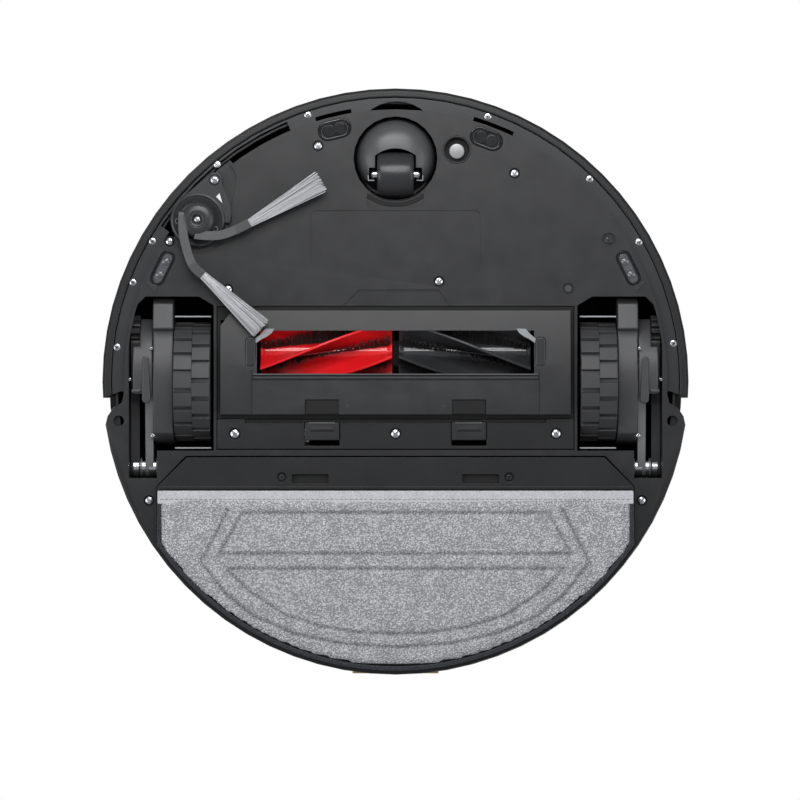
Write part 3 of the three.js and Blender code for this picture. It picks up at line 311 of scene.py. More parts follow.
def flattened(shape):
    """Joins the triangles of each flat face."""
    bmesh.ops.remove_doubles(shape, verts=shape.verts, dist=0.002)
    bmesh.ops.dissolve_limit(
        shape, angle_limit=math.radians(0.5), verts=shape.verts, edges=shape.edges,
    )
    return shape


def corners(node):
    """A CAD node's lowest and highest corners, in millimetres."""
    low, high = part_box(node)
    return low / MM, high / MM


def middle_of(low, high):
    """The middle of two corners, seen from below."""
    return (low.x + high.x) / 2, (low.y + high.y) / 2


def copy_of(node):
    """A merged copy of a CAD node's mesh, in millimetres."""
    shape = bmesh.new()
    shape.from_mesh(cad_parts[node].data)
    bmesh.ops.scale(shape, verts=shape.verts, vec=(1 / MM, 1 / MM, 1 / MM))
    return flattened(shape)


class Piece:
    """Closed shapes in millimetres that become one named object on a body."""

    def __init__(self, name):
        self.name = name
        self.shapes = []
        self.finishes = []

    def add(self, shape, finish):
        """Adds a shape with its finish."""
        if finish not in self.finishes:
            self.finishes.append(finish)
        for face in shape.faces:
            face.material_index = self.finishes.index(finish)
        self.shapes.append(shape)
        return self

    def done(self, body, *nodes, sharp=32):
        """Makes the object, which rides on a body and may stand for CAD nodes."""
        whole = joined(self.shapes)
        bmesh.ops.scale(whole, verts=whole.verts, vec=(MM, MM, MM))
        thing = shown(self.name, whole)
        for finish in self.finishes:
            thing.data.materials.append(finish_of(finish))
        thing.data.shade_smooth()
        thing.data.set_sharp_from_angle(angle=math.radians(sharp))
        even = thing.modifiers.new("even_shading", "WEIGHTED_NORMAL")
        even.keep_sharp = True
        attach(thing, body)
        if nodes:
            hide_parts(*nodes)
        return thing


# ---- Finishes ---------------------------------------------------------------------------------


def node(tree, kind, links=(), **settings):
    """A shader node with its settings, and its inputs filled from sockets or values."""
    new = tree.nodes.new(kind)
    for name, value in settings.items():
        setattr(new, name, value)
    for socket, source in dict(links).items():
        if isinstance(source, bpy.types.NodeSocket):
            tree.links.new(source, new.inputs[socket])
        else:
            new.inputs[socket].default_value = source
    return new


def shader_group(name, inputs, outputs):
    """An empty node group with its sockets: (tree, its input node, its output node)."""
    tree = bpy.data.node_groups.new(name, "ShaderNodeTree")
    for label, kind, value in inputs:
        socket = tree.interface.new_socket(name=label, in_out="INPUT", socket_type=kind)
        if value is not None:
            socket.default_value = value
    for label, kind in outputs:
        tree.interface.new_socket(name=label, in_out="OUTPUT", socket_type=kind)
    return tree, tree.nodes.new("NodeGroupInput"), tree.nodes.new("NodeGroupOutput")


def moulded_group():
    """Moulded surface: grain, slow changes of tone and shine, and a painted highlight that makes sharp edges
    paler in patches.
    """
    tree, given, result = shader_group(
        "Moulded surface",
        [
            ("Vector", "NodeSocketVector", None), ("Colour", "NodeSocketColor", None),
            ("Edge highlight colour", "NodeSocketColor", None), ("Edge highlight", "NodeSocketFloat", 0.5),
            ("Roughness", "NodeSocketFloat", 0.45), ("Unevenness", "NodeSocketFloat", 0.08),
            ("Grain size", "NodeSocketFloat", 900.0),
        ],
        [("Colour", "NodeSocketColor"), ("Roughness", "NodeSocketFloat"), ("Height", "NodeSocketFloat")],
    )
    place = given.outputs["Vector"]
    slow = node(tree, "ShaderNodeTexNoise", {"Vector": place, "Scale": 22.0, "Detail": 3.0})
    fine = node(tree, "ShaderNodeTexNoise", {
        "Vector": place, "Scale": given.outputs["Grain size"], "Detail": 2.0,
    })
    smudge = node(tree, "ShaderNodeTexNoise", {"Vector": place, "Scale": 75.0, "Detail": 5.0})
    shape = node(tree, "ShaderNodeNewGeometry")
    # Painted highlight: sharp edges, found by their pointiness, take the paler highlight colour in patches.
    edge = node(tree, "ShaderNodeMapRange", {
        "Value": shape.outputs["Pointiness"], "From Min": 0.53, "From Max": 0.66,
    })
    patchy = node(tree, "ShaderNodeMath", {0: edge.outputs[0], 1: smudge.outputs[0]}, operation="MULTIPLY")
    edge_highlight_share = node(tree, "ShaderNodeMath", {
        0: patchy.outputs[0], 1: given.outputs["Edge highlight"],
    }, operation="MULTIPLY", use_clamp=True)
    shade = node(tree, "ShaderNodeMapRange", {
        "Value": slow.outputs[0], "From Min": 0.3, "From Max": 0.7, "To Min": 0.88, "To Max": 1.12,
    })
    toned = node(tree, "ShaderNodeVectorMath", {
        0: given.outputs["Colour"], "Scale": shade.outputs[0],
    }, operation="SCALE")
    mixed = node(tree, "ShaderNodeMix", {
        0: edge_highlight_share.outputs[0], 6: toned.outputs[0], 7: given.outputs["Edge highlight colour"],
    }, data_type="RGBA")
    centred = node(tree, "ShaderNodeMath", {0: smudge.outputs[0], 1: 0.5}, operation="SUBTRACT")
    uneven = node(tree, "ShaderNodeMath", {
        0: centred.outputs[0], 1: given.outputs["Unevenness"], 2: given.outputs["Roughness"],
    }, operation="MULTIPLY_ADD")
    tree.links.new(mixed.outputs[2], result.inputs["Colour"])
    tree.links.new(uneven.outputs[0], result.inputs["Roughness"])
    tree.links.new(fine.outputs[0], result.inputs["Height"])
    return tree


def strand_group():
    """Strands: each strand its own tone, from somewhat darker than the colour to a little paler."""
    tree, given, result = shader_group(
        "Strands",
        [("Colour", "NodeSocketColor", None), ("Spread", "NodeSocketFloat", 0.35)],
        [("Colour", "NodeSocketColor")],
    )
    shape = node(tree, "ShaderNodeNewGeometry")
    low = node(tree, "ShaderNodeMath", {0: 1.0, 1: given.outputs["Spread"]}, operation="SUBTRACT")
    shade = node(tree, "ShaderNodeMapRange", {
        "Value": shape.outputs["Random Per Island"], "To Min": low.outputs[0], "To Max": 1.15,
    })
    toned = node(tree, "ShaderNodeVectorMath", {
        0: given.outputs["Colour"], "Scale": shade.outputs[0],
    }, operation="SCALE")
    tree.links.new(toned.outputs[0], result.inputs["Colour"])
    return tree


def cloth_group():
    """Looped cloth: small round loops with painted shade between them, in loose clumps, and painted shade
    along the sewn channels.
    """
    tree, given, result = shader_group(
        "Looped cloth",
        [
            ("Vector", "NodeSocketVector", None), ("Colour", "NodeSocketColor", None),
            ("Shade between loops", "NodeSocketColor", None), ("Loop size", "NodeSocketFloat", 620.0),
            ("Seam", "NodeSocketFloat", 0.0),
        ],
        [("Colour", "NodeSocketColor"), ("Height", "NodeSocketFloat")],
    )
    place = given.outputs["Vector"]
    wander = node(tree, "ShaderNodeTexNoise", {"Vector": place, "Scale": 260.0, "Detail": 2.0})
    shift = node(tree, "ShaderNodeVectorMath", {0: wander.outputs[1], "Scale": 0.0022}, operation="SCALE")
    bent = node(tree, "ShaderNodeVectorMath", {0: place, 1: shift.outputs[0]}, operation="ADD")
    loops = node(tree, "ShaderNodeTexVoronoi", {
        "Vector": bent.outputs[0], "Scale": given.outputs["Loop size"], "Randomness": 0.9,
    })
    clumps = node(tree, "ShaderNodeTexNoise", {"Vector": place, "Scale": 120.0, "Detail": 4.0})
    height = node(tree, "ShaderNodeMapRange", {
        "Value": loops.outputs["Distance"], "From Max": 0.75, "To Min": 1.0, "To Max": 0.0,
    })
    mixed_height = node(tree, "ShaderNodeMath", {
        0: clumps.outputs[0], 1: 0.6, 2: height.outputs[0],
    }, operation="MULTIPLY_ADD")
    # Painted shade: the colour darkens towards the low ground between the loops.
    blend = node(tree, "ShaderNodeMapRange", {
        "Value": mixed_height.outputs[0], "From Min": 0.35, "From Max": 1.15,
    })
    tone = node(tree, "ShaderNodeMix", {
        0: blend.outputs[0], 6: given.outputs["Shade between loops"], 7: given.outputs["Colour"],
    }, data_type="RGBA")
    # Painted shade: the colour darkens along the sewn channels.
    pressed = node(tree, "ShaderNodeMapRange", {
        "Value": given.outputs["Seam"], "To Min": 1.0, "To Max": 0.58,
    })
    shaded = node(tree, "ShaderNodeVectorMath", {
        0: tone.outputs[2], "Scale": pressed.outputs[0],
    }, operation="SCALE")
    tree.links.new(shaded.outputs[0], result.inputs["Colour"])
    tree.links.new(mixed_height.outputs[0], result.inputs["Height"])
    return tree


def finish_of(name):
    """The material of a finish."""
    return bpy.data.materials[f"{name}_finish"]


def finish_start(name, **constants):
    """A new material: (its tree, its Principled shader, its object coordinates)."""
    material = bpy.data.materials.new(f"{name}_finish")
    material.use_nodes = True
    tree = material.node_tree
    shader = tree.nodes["Principled BSDF"]
    for socket, value in constants.items():
        shader.inputs[socket.replace("_", " ")].default_value = value
    place = tree.nodes.new("ShaderNodeTexCoord").outputs["Object"]
    return tree, shader, place


def bumped(tree, shader, height, distance, strength=1.0):
    """Feeds a height to the shader's normal."""
    bump = node(tree, "ShaderNodeBump", {"Height": height, "Distance": distance, "Strength": strength})
    tree.links.new(bump.outputs[0], shader.inputs["Normal"])


def moulded(name, tone, roughness, grain=0.00002, grain_size=1300.0, edge_highlight=0.6, unevenness=0.12,
            **constants):
    """A moulded, cast or rolled finish from the shared surface group."""
    shader_values = {"Specular_IOR_Level": 0.45, **constants}
    tree, shader, place = finish_start(name, **shader_values)
    # The paler colour is the painted edge highlight.
    paler = [min(1.0, part * 1.9 + 0.02) for part in tone]
    surface = node(tree, "ShaderNodeGroup", node_tree=bpy.data.node_groups["Moulded surface"])
    values = {
        "Colour": (*tone, 1), "Edge highlight colour": (*paler, 1), "Edge highlight": edge_highlight,
        "Roughness": roughness, "Unevenness": unevenness, "Grain size": grain_size,
    }
    for socket, value in values.items():
        surface.inputs[socket].default_value = value
    tree.links.new(place, surface.inputs["Vector"])
    tree.links.new(surface.outputs["Colour"], shader.inputs["Base Color"])
    tree.links.new(surface.outputs["Roughness"], shader.inputs["Roughness"])
    bumped(tree, shader, surface.outputs["Height"], grain)


def stranded(name, tone, spread, roughness):
    """Bristles, each with a tone of its own."""
    tree, shader, place = finish_start(name, Roughness=roughness)
    strands = node(tree, "ShaderNodeGroup", node_tree=bpy.data.node_groups["Strands"])
    strands.inputs["Colour"].default_value = (*tone, 1)
    strands.inputs["Spread"].default_value = spread
    tree.links.new(strands.outputs[0], shader.inputs["Base Color"])
    fibre = node(tree, "ShaderNodeTexNoise", {"Vector": place, "Scale": 1800.0})
    bumped(tree, shader, fibre.outputs[0], 0.00004)


def looped(name, tone, between, loop_size, depth, sheen):
    """Looped or woven cloth."""
    tree, shader, place = finish_start(name, Roughness=0.95, Sheen_Weight=sheen, Specular_IOR_Level=0.2)
    cloth = node(tree, "ShaderNodeGroup", node_tree=bpy.data.node_groups["Looped cloth"])
    cloth.inputs["Colour"].default_value = (*tone, 1)
    # The second colour is painted shade between the loops.
    cloth.inputs["Shade between loops"].default_value = (*between, 1)
    cloth.inputs["Loop size"].default_value = loop_size
    # This attribute brings in painted shade along the sewn channels.
    channel_shade = node(tree, "ShaderNodeAttribute", attribute_name="channel_shade")
    tree.links.new(channel_shade.outputs["Fac"], cloth.inputs["Seam"])
    tree.links.new(place, cloth.inputs["Vector"])
    tree.links.new(cloth.outputs["Colour"], shader.inputs["Base Color"])
    bumped(tree, shader, cloth.outputs["Height"], depth)


def clear_lens():
    """Clear moulded plastic over a sensor."""
    tree, shader, place = finish_start(
        "clear_lens", Base_Color=(0.10, 0.102, 0.108, 1), IOR=1.49, Coat_Weight=0.6, Coat_Roughness=0.04,
    )
    haze = node(tree, "ShaderNodeTexNoise", {"Vector": place, "Scale": 300.0, "Detail": 3.0})
    shine = node(tree, "ShaderNodeMapRange", {"Value": haze.outputs[0], "To Min": 0.05, "To Max": 0.22})
    tree.links.new(shine.outputs[0], shader.inputs["Roughness"])
    bumped(tree, shader, haze.outputs[0], 0.00006)


def make_finishes():
    """Makes every finish."""
    moulded_group()
    strand_group()
    cloth_group()
    moulded("satin_black", colour("body"), 0.40)
    moulded("shadow", [0.004, 0.004, 0.0045], 0.7, edge_highlight=0.1)
    moulded("arm_plastic", colour("arm"), 0.36)
    # Pale plastic: the bearings' own light grey; on the well strips and the caster's slot frames it is a
    # painted highlight.
    moulded("pale_plastic", [0.30, 0.31, 0.32], 0.45)
    moulded("pale_line", [0.11, 0.112, 0.118], 0.45)
    # Drive plastic: the black moulding made lighter, as painted light for how brightly the drive cases,
    # guards and gears are lit.
    moulded("drive_plastic_painted_light", [0.060, 0.0605, 0.063], 0.36)
    # Dome plastic: the dome's own dark grey, made lighter as a painted highlight.
    moulded("dome_plastic_painted_light", [0.065, 0.066, 0.068], 0.34)
    moulded("barrel_plastic", [0.030, 0.0305, 0.033], 0.30)
    moulded("hub_plastic", [0.030, 0.0305, 0.032], 0.30)
    # Cover plastic: made lighter than the body's black, as painted light for the lamp's reflection on the
    # cover.
    moulded("cover_plastic_painted_light", [0.022, 0.0222, 0.0235], 0.36)
    moulded("sleeve_rubber", [0.060, 0.061, 0.063], 0.45)
    moulded("lens_black", [0.006, 0.006, 0.008], 0.10, grain=0.000004, edge_highlight=0.2, Coat_Weight=0.5)
    moulded("lid_gloss", [0.012, 0.012, 0.014], 0.16, grain=0.000003, edge_highlight=0.3, Coat_Weight=0.4)
    moulded("wheel_hub", [0.035, 0.036, 0.038], 0.5)
    moulded("bin_plastic", [0.05, 0.052, 0.056], 0.3)
    moulded("cell_pack", [0.03, 0.06, 0.16], 0.35)
    moulded("motor_case", [0.42, 0.43, 0.44], 0.35, Metallic=0.9)
    moulded("circuit_board", [0.012, 0.10, 0.045], 0.35, grain_size=700.0)
    moulded("steel", colour("steel"), 0.24, grain=0.00003, grain_size=2200.0, Metallic=1.0)
    moulded("grey_steel", [0.30, 0.305, 0.31], 0.42, grain_size=1600.0, Metallic=0.55)
    moulded("chrome", [0.72, 0.73, 0.75], 0.12, grain=0.00001, Metallic=1.0)
    moulded("contact_metal", [0.62, 0.47, 0.24], 0.25, Metallic=1.0)
    moulded(
        "tyre_rubber", colour("rubber"), 0.46, grain=0.00006, grain_size=1500.0, edge_highlight=0.9,
        Specular_IOR_Level=0.45,
    )
    moulded("flex_rubber", colour("flex"), 0.48, grain=0.00004, grain_size=1100.0)
    moulded("red_rubber", colour("red"), 0.38, grain=0.00003, Specular_IOR_Level=0.4)
    moulded("red_core", colour("red"), 0.20, grain=0.00001, Coat_Weight=0.5, Specular_IOR_Level=0.6)
    moulded("black_rubber", [0.024, 0.0245, 0.027], 0.38, grain=0.00003)
    moulded("black_core", [0.03, 0.031, 0.034], 0.22, grain=0.00001, Coat_Weight=0.5, Specular_IOR_Level=0.6)
    moulded("pale_mark", [0.62, 0.63, 0.65], 0.6)
    stranded("bristles", colour("bristles"), 0.55, 0.42)
    stranded("dark_bristles", [0.030, 0.026, 0.025], 0.5, 0.6)
    # Each cloth's second tone is painted shade between its loops.
    cloth = colour("cloth")
    looped("mop_cloth", [part * 1.75 for part in cloth], [part * 0.62 for part in cloth], 820.0, 0.0010, 0.3)
    looped("cloth_hem", [part * 1.5 for part in cloth], [part * 1.0 for part in cloth], 1500.0, 0.00022, 0.2)
    binding = colour("binding")
    looped("cloth_binding", binding, [part * 0.5 for part in binding], 1300.0, 0.0003, 0.2)
    looped("thread", [0.50, 0.52, 0.56], [0.22, 0.23, 0.25], 2600.0, 0.0001, 0.1)
    clear_lens()


# ---- Base, bumper and body --------------------------------------------------------------------

# The finish of each CAD node that stays as it is.
CAD_FINISHES = {
    "left_wheel_house": "shadow", "right_wheel_house": "shadow", "caster_socket": "shadow",
    "brush_housing": "shadow", "battery_pack": "cell_pack", "main_board": "circuit_board",
    "suction_fan": "motor_case", "dust_bin": "bin_plastic", "brush_motor": "motor_case",
    "water_tank": "bin_plastic", "side_brush_motor": "motor_case",
}

PLATE_SCREWS = [
    (-46.4, -141.3), (71.4, -124.9), (26.1, -60.0), (-135.4, -84.0), (-100.5, -55.2),
    (-147.7, 71.4), (147.7, 71.4),
]
DARK_SCREW = (127.9, -84.8)
RUBBER_PLUG = (103.7, -55.6)
BODY_HOLE = (166.0, 23.6)
BASE_RADIUS = 175.7

# The bumper's lip: its screws' directions in degrees and their ring's radius, its slots' directions
# and radii, and the notch round the caster.
LIP_SCREWS = [-159.3, -173.0, -150.0, -129.4, -108.2, -70.8, -46.2, -29.8, -7.8]
LIP_SCREW_RING = 168.5
LIP_SLOTS = [(-106.9, -99.3), (-73.4, -64.6)]
LIP_SLOT_RADII = (162.0, 165.6)
LIP_NOTCH, LIP_NOTCH_RADIUS = (0.6, -142.0), 26


def screw_head(radius, height, finish_depth=0.9):
    """A screw's low domed head with its cross, looking down, its seat at height zero."""
    dome = turned([
        (0, -height), (radius * 0.55, -height * 0.93), (radius * 0.88, -height * 0.6),
        (radius, -height * 0.2), (radius, 0), (0, 0),
    ], steps=24)
    arm, half = radius * 0.55, radius * 0.13
    cross = [
        block(-arm, arm, -half, half, -height - 1, -height * (1 - finish_depth)),
        block(-half, half, -arm, arm, -height - 1.1, -height * (1 - finish_depth) - 0.001),
    ]
    return cut(dome, cross)


def copies(shape, places, height):
    """Copies of a shape at a height, each turned a little differently, as one shape."""
    placed = [
        moved(shape.copy(), x, y, height, turn=37.0 * i) for i, (x, y) in enumerate(places)
    ]
    shape.free()
    return joined(placed)


def floor_sensors():
    """Each floor sensor's node name, middle and direction along the rim, in degrees."""
    for name in ("front_left", "front_right", "side_left", "side_right"):
        low, high = corners(f"{name}_cliff_sensor")
        middle = (low + high) / 2
        yield f"{name}_cliff_sensor", middle, math.degrees(math.atan2(middle.y, middle.x)) + 90


def rim_rounded(shape, radius, height, width, segments=5):
    """Rounds the edge that runs round the body at a radius and height."""
    edges = [
        edge for edge in shape.edges if edge.is_manifold and all(
            abs(vert.co.z - height) < 0.2 and math.hypot(vert.co.x, vert.co.y) > radius - 0.5
            for vert in edge.verts
        )
    ]
    bmesh.ops.bevel(
        shape, geom=edges, offset=width, offset_type="OFFSET", segments=segments, profile=0.5,
        affect="EDGES", material=-1, clamp_overlap=False,
    )
    return shape


class ROBOT_OT_base(bpy.types.Operator):
    """Base plate with its recesses, screws, plug and marks"""

    bl_idname = "robot.base"
    bl_label = "Base plate"

    def execute(self, context):
        under = corners("base_plate")[0].z
        ring = mm("screw") + mm("recess")
        bay_front = corners("brush_cover")[0].y
        tools = [
            prism(box_outline(-51, 51, -102.6, -70.2, 3), under - 1, under + mm("label_depth")),
            prism([(-34.5, bay_front), (34.5, bay_front), (26, -55), (-22, -55)], under - 1, under + 0.7),
            peg(4.2, under - 1, under + 1.5),
        ]
        bmesh.ops.translate(tools[-1], verts=tools[-1].verts, vec=(*DARK_SCREW, 0))
        for x, y in [*PLATE_SCREWS, RUBBER_PLUG]:
            tools.append(moved(peg(ring, under - 1, under + 1.3), x, y))
        for side in SIDES.values():
            tools.append(moved(peg(3.2, under - 1, under + 4), side * BODY_HOLE[0], BODY_HOLE[1]))
        plate = cut(copy_of("base_plate"), tools)
        rim_rounded(plate, BASE_RADIUS, under, 1.2)
        moulding = Piece("base_plate_moulding").add(eased(plate, mm("edge")), "satin_black")
        moulding.done("chassis", "base_plate")

        heads = copies(screw_head(mm("screw"), 1.2), PLATE_SCREWS, under + 1.0)
        Piece("plate_screws").add(heads, "steel").done("chassis")
        wells = joined([moved(peg(ring - 0.1, under + 1.15, under + 1.3), x, y) for x, y in PLATE_SCREWS])
        Piece("screw_wells").add(wells, "shadow").done("chassis")
        dark = moved(screw_head(2.6, 1.0), *DARK_SCREW, under + 1.4)
        plug = moved(turned([(0, -0.9), (1.8, -0.8), (2.7, 0), (0, 0)]), *RUBBER_PLUG, under + 0.9)
        Piece("dark_screw").add(dark, "arm_plastic").done("chassis")
        Piece("rubber_plug").add(plug, "tyre_rubber").done("chassis")
        return {"FINISHED"}


class ROBOT_OT_sensors(bpy.types.Operator):
    """Floor sensors with their windows and lenses, and the carpet sensor"""

    bl_idname = "robot.sensors"
    bl_label = "Sensors"

    def execute(self, context):
        for name, middle, heading in floor_sensors():
            under = corners(name)[0].z
            piece = Piece(f"{name}_window")
            piece.add(eased(copy_of(name), 0.3), "lens_black")
            if name.startswith("front"):
                self.window(piece, middle, heading, under)
            else:
                self.lenses(piece, middle, heading, under)
            piece.done("chassis", name)
        self.carpet_sensor()
        return {"FINISHED"}

    def window(self, piece, middle, heading, under):
        """A dark two-part window with a fine rim."""
        for half in (-1, 1):
            pane = prism(box_outline(0.25, 6.4, -3.6, 3.6, 2.6), under + 0.9, under + 1.7, 0.25)
            pane = pane if half > 0 else mirrored(pane)
            piece.add(moved(pane, middle.x, middle.y, turn=heading), "lid_gloss")
        rim = cut(
            prism(strap((-3.6, 0), 4.5, (3.6, 0), 4.5), under + 0.7, under + 1.7),
            [prism(strap((-3.6, 0), 4.1, (3.6, 0), 4.1), under, under + 3)],
        )
        piece.add(moved(rim, middle.x, middle.y, turn=heading), "arm_plastic")

    def lenses(self, piece, middle, heading, under):
        """Two clear domes side by side in a clear bed, and the mark beyond them."""
        bed = prism(box_outline(-9.2, 9.2, -3.1, 3.1, 1.2), under + 1.0, under + 1.9, 0.3)
        piece.add(moved(bed, middle.x, middle.y, turn=heading), "clear_lens")
        for offset in (-4.3, 4.3):
            dome = turned([(0, -1.1), (1.3, -0.95), (2.3, -0.4), (2.6, 0.2), (0, 0.2)], steps=32)
            bmesh.ops.translate(dome, verts=dome.verts, vec=(offset, 0, under + 1.0))
            piece.add(moved(dome, middle.x, middle.y, turn=heading), "clear_lens")
            bar = block(offset - 3.4, offset - 2.9, -2.6, 2.6, under + 0.5, under + 1.1, 0.15)
            piece.add(moved(bar, middle.x, middle.y, turn=heading), "clear_lens")
        side = math.copysign(1, middle.x)
        triangle = [(side * 150.2, -60.4), (side * 142.3, -57.3), (side * 144.2, -52.9)]
        mark = prism(triangle, under - 0.7, under, 0.2)
        piece.add(mark, "arm_plastic")

    def carpet_sensor(self):
        """A round cup with a raised rim and a metal face inside."""
        low, high = corners("carpet_sensor")
        x, y = middle_of(low, high)
        cup = turned([
            (7.3, 0.2), (7.6, -0.15), (8.3, -0.15), (8.3, 9), (7.1, 9), (6.9, 3), (7.2, 1.0),
        ], ring=True, ease=0.1)
        face = turned([(0, 2.0), (3.6, 2.05), (4.4, 2.3), (4.6, 2.9), (4.6, 4.5), (0, 4.5)])
        floor = peg(7.2, 4.4, 5.4)
        piece = Piece("carpet_sensor_cup").add(moved(cup, x, y, low.z), "satin_black")
        piece.add(moved(face, x, y + 0.8, low.z), "grey_steel").add(moved(floor, x, y, low.z), "shadow")
        piece.done("chassis", "carpet_sensor")


class ROBOT_OT_bumper(bpy.types.Operator):
    """Bumper shell, its lip with slots and screws, and its sensor window"""

    bl_idname = "robot.bumper"
    bl_label = "Bumper"

    def execute(self, context):
        low, high = corners("bumper_shell")
        shell = rim_rounded(copy_of("bumper_shell"), high.x, low.z, 2.2)
        shell = rim_rounded(shell, high.x, high.z, 1.6)
        Piece("bumper_moulding").add(eased(shell, 0.3), "satin_black").done("bumper", "bumper_shell")

        lip_low, lip_high = corners("bumper_lip")
        tools = [
            prism(band(*LIP_SLOT_RADII, *ends, 8), lip_low.z - 1, lip_high.z + 1) for ends in LIP_SLOTS
        ]
        tools.append(moved(peg(LIP_NOTCH_RADIUS, lip_low.z - 1, lip_high.z + 1), *LIP_NOTCH))
        lip = eased(cut(copy_of("bumper_lip"), tools), 0.3)
        Piece("bumper_lip_moulding").add(lip, "arm_plastic").done("bumper", "bumper_lip")
        places = [
            (LIP_SCREW_RING * math.cos(math.radians(turn)), LIP_SCREW_RING * math.sin(math.radians(turn)))
            for turn in LIP_SCREWS
        ]
        heads = copies(screw_head(mm("lip_screw"), 0.34), places, lip_low.z + 0.05)
        Piece("lip_screws").add(heads, "steel").done("bumper")
        window = eased(copy_of("sensor_window"), 0.3)
        Piece("sensor_window_lens").add(window, "lens_black").done("bumper", "sensor_window")
        return {"FINISHED"}


class ROBOT_OT_body(bpy.types.Operator):
    """Rear wall, top deck, charging contacts and the pieces inside"""

    bl_idname = "robot.body"
    bl_label = "Body"

    def execute(self, context):
        Piece("side_wall").add(eased(copy_of("side_shell"), 0.3), "satin_black").done("chassis", "side_shell")
        deck_high = corners("top_deck")[1]
        deck = rim_rounded(copy_of("top_deck"), deck_high.y, deck_high.z, 1.4, 4)
        Piece("deck").add(eased(deck, 0.3), "satin_black").done("chassis", "top_deck")
        for label in SIDES:
            contact = eased(copy_of(f"{label}_charge_contact"), 0.5)
            pad = Piece(f"{label}_charge_pad").add(contact, "contact_metal")
            pad.done("chassis", f"{label}_charge_contact")
        for name, finish in CAD_FINISHES.items():
            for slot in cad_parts[name].material_slots:
                slot.material = finish_of(finish)
        return {"FINISHED"}


# ---- Wheels and caster ------------------------------------------------------------------------

LUGS = 20
LUG_LENGTH, LUG_DEPTH = 8.3, 4.2
ROW_LAG = 0.46
DRIVE_CASE = (133.4, 145.7)
BUSHES = ((143.9, 149.6), (150.2, 153.6), (154.2, 158.8))
# Where the pale strips across each wheel well lie: painted highlights of the well walls' edges.
WELL_HIGHLIGHT_LINES = (-39.0, 39.9)


def across_x(outline, x0, x1, ease=0.0, segments=2):
    """An outline of (y, z) points raised along X."""
    shape = prism(outline, min(x0, x1), max(x0, x1), ease, segments)
    turn = Matrix(((0, 0, 1, 0), (1, 0, 0, 0), (0, 1, 0, 0), (0, 0, 0, 1)))
    bmesh.ops.transform(shape, matrix=turn, verts=shape.verts)
    return shape


def lug_row(middle, half, phase, radius):
    """One row of a tyre's blocks round the axle, on the X axis."""
    length_half = LUG_LENGTH / 2
    lug = block(
        middle - half, middle + half, -length_half, length_half, -radius + 0.2, -radius + LUG_DEPTH, 0.5,
    )
    row = []
    for i in range(LUGS):
        copy = lug.copy()
        turn = Matrix.Rotation(math.tau * (i + phase) / LUGS, 4, "X")
        bmesh.ops.transform(copy, matrix=turn, verts=copy.verts)
        row.append(copy)
    lug.free()
    return joined(row)


